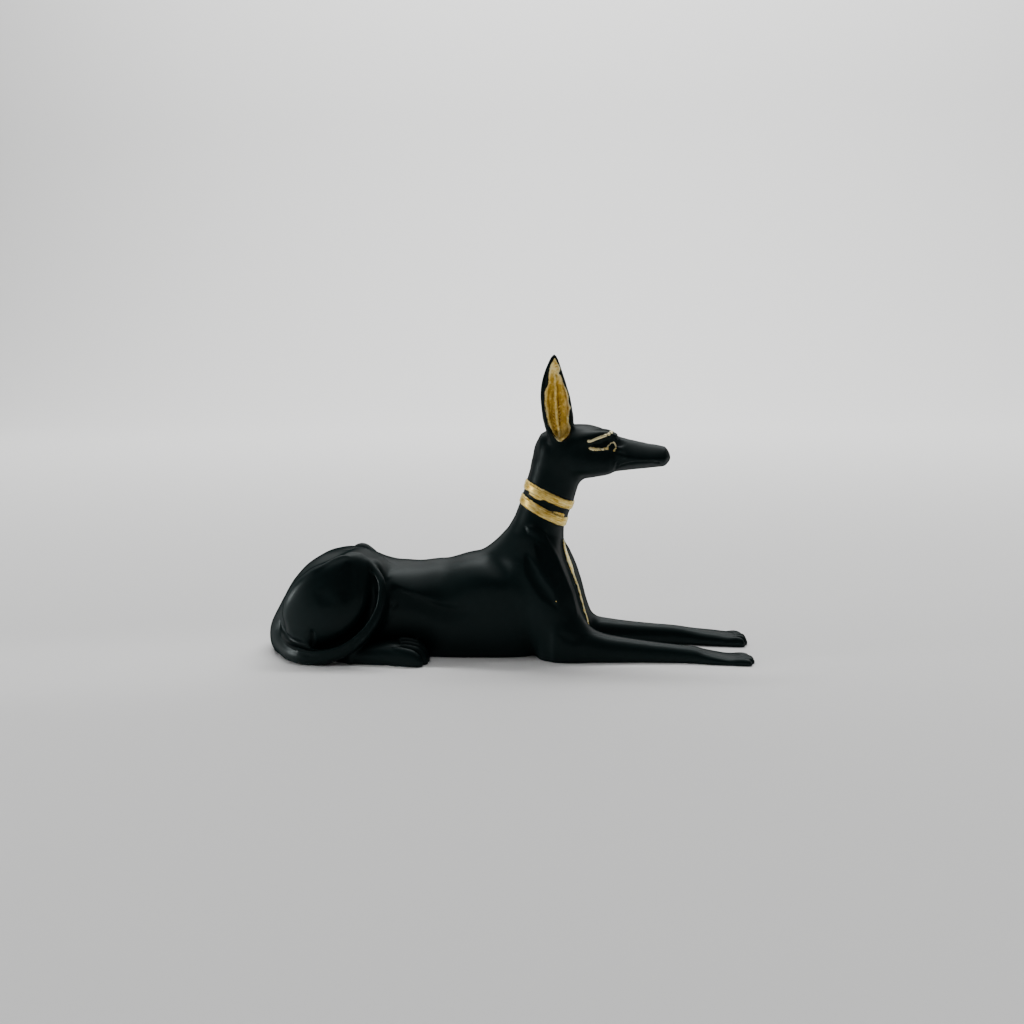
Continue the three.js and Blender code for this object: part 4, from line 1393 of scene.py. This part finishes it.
# %% Table
# A sheet of pale paper lies on the table and curves up behind it.
SHEET_HALF, SHEET_FRONT, SHEET_BEHIND, SHEET_BEND, SHEET_TOP = 4.0, -3.0, 1.6, 0.8, 3.2
curl = np.linspace(0, np.pi / 2, 25)
profile = [(SHEET_FRONT, 0)]
profile += zip(SHEET_BEHIND + SHEET_BEND * np.sin(curl), SHEET_BEND * (1 - np.cos(curl)))
profile.append((SHEET_BEHIND + SHEET_BEND, SHEET_TOP))
corners = [(x, y, z) for y, z in profile for x in (-SHEET_HALF, SHEET_HALF)]
strips = [(2 * i, 2 * i + 1, 2 * i + 3, 2 * i + 2) for i in range(len(profile) - 1)]
floor_mesh = bpy.data.meshes.new("paper_sheet")
floor_mesh.from_pydata([tuple(map(float, corner)) for corner in corners], [], strips)
floor_mesh.shade_smooth()
floor = bpy.data.objects.new("paper_sheet", floor_mesh)
bpy.context.scene.collection.objects.link(floor)
pale = Paint("pale_paper")
floor_mesh.materials.append(pale.finish(Base_Color=(0.8, 0.8, 0.795), Roughness=0.9, Specular_IOR_Level=0.1))


# %% Lights
def soft_light(name, place, towards, size, watts, spread=180):
    """A rectangular soft light, in metres, that faces a place and shines in a cone of so many degrees."""
    data = bpy.data.lights.new(name, "AREA")
    data.shape, data.size, data.size_y, data.energy = "RECTANGLE", *size, watts
    data.spread = np.radians(spread)
    light = bpy.data.objects.new(name, data)
    light.location = place
    light.rotation_euler = (Vector(towards) - Vector(place)).to_track_quat("-Z", "Y").to_euler()
    bpy.context.scene.collection.objects.link(light)
    return light


soft_light("sky_light", (-0.1, 0.1, 1.3), (0, 0.05, 0.0), (1.6, 1.1), 7)
soft_light("paper_light", (0.0, 1.0, 2.2), (0, 2.2, 0.9), (3.0, 0.6), 110)
soft_light("left_light", (-0.33, -0.075, 0.07), (-0.088, -0.02, 0.031), (0.08, 0.1), 0.021, 22)

world = bpy.data.worlds.new("room")
bpy.context.scene.world = world
world.use_nodes = True
background = world.node_tree.nodes["Background"]
background.inputs["Color"].default_value = (0.93, 0.94, 0.95, 1)
background.inputs["Strength"].default_value = 0.12

# %% [markdown]
# The camera stands where the photograph was taken from: beside the tail and turned a little to
# the front, a little above, and about 0.4 m away. So close, the near legs look larger.

# %% Camera
AZIMUTH, ELEVATION, ROLL = np.radians([7.0, 8.0, -0.8])
CAMERA_AWAY = 414.0
AIM = np.array([3.0, 0.0, 57.4])
level = np.array([np.sin(AZIMUTH), -np.cos(AZIMUTH), 0])
back = np.cos(ELEVATION) * level + np.sin(ELEVATION) * Z
across = np.array([np.cos(AZIMUTH), np.sin(AZIMUTH), 0])
upward = np.cross(back, across)
right = np.cos(ROLL) * across + np.sin(ROLL) * upward
above = np.cos(ROLL) * upward - np.sin(ROLL) * across
camera = bpy.data.objects.new("camera", bpy.data.cameras.new("camera"))
camera.data.lens, camera.data.sensor_width = 35.5, 36
turn = np.eye(4)
turn[:3, :3] = np.stack([right, above, back], 1)
turn[:3, 3] = in_frame(AIM + CAMERA_AWAY * back)
camera.matrix_world = Matrix(turn.tolist())
bpy.context.scene.collection.objects.link(camera)
bpy.context.scene.camera = camera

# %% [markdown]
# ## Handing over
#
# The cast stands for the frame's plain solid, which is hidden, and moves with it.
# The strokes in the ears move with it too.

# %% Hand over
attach(cast, "root")
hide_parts("jackal_figure")
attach(ear_strokes, "root")
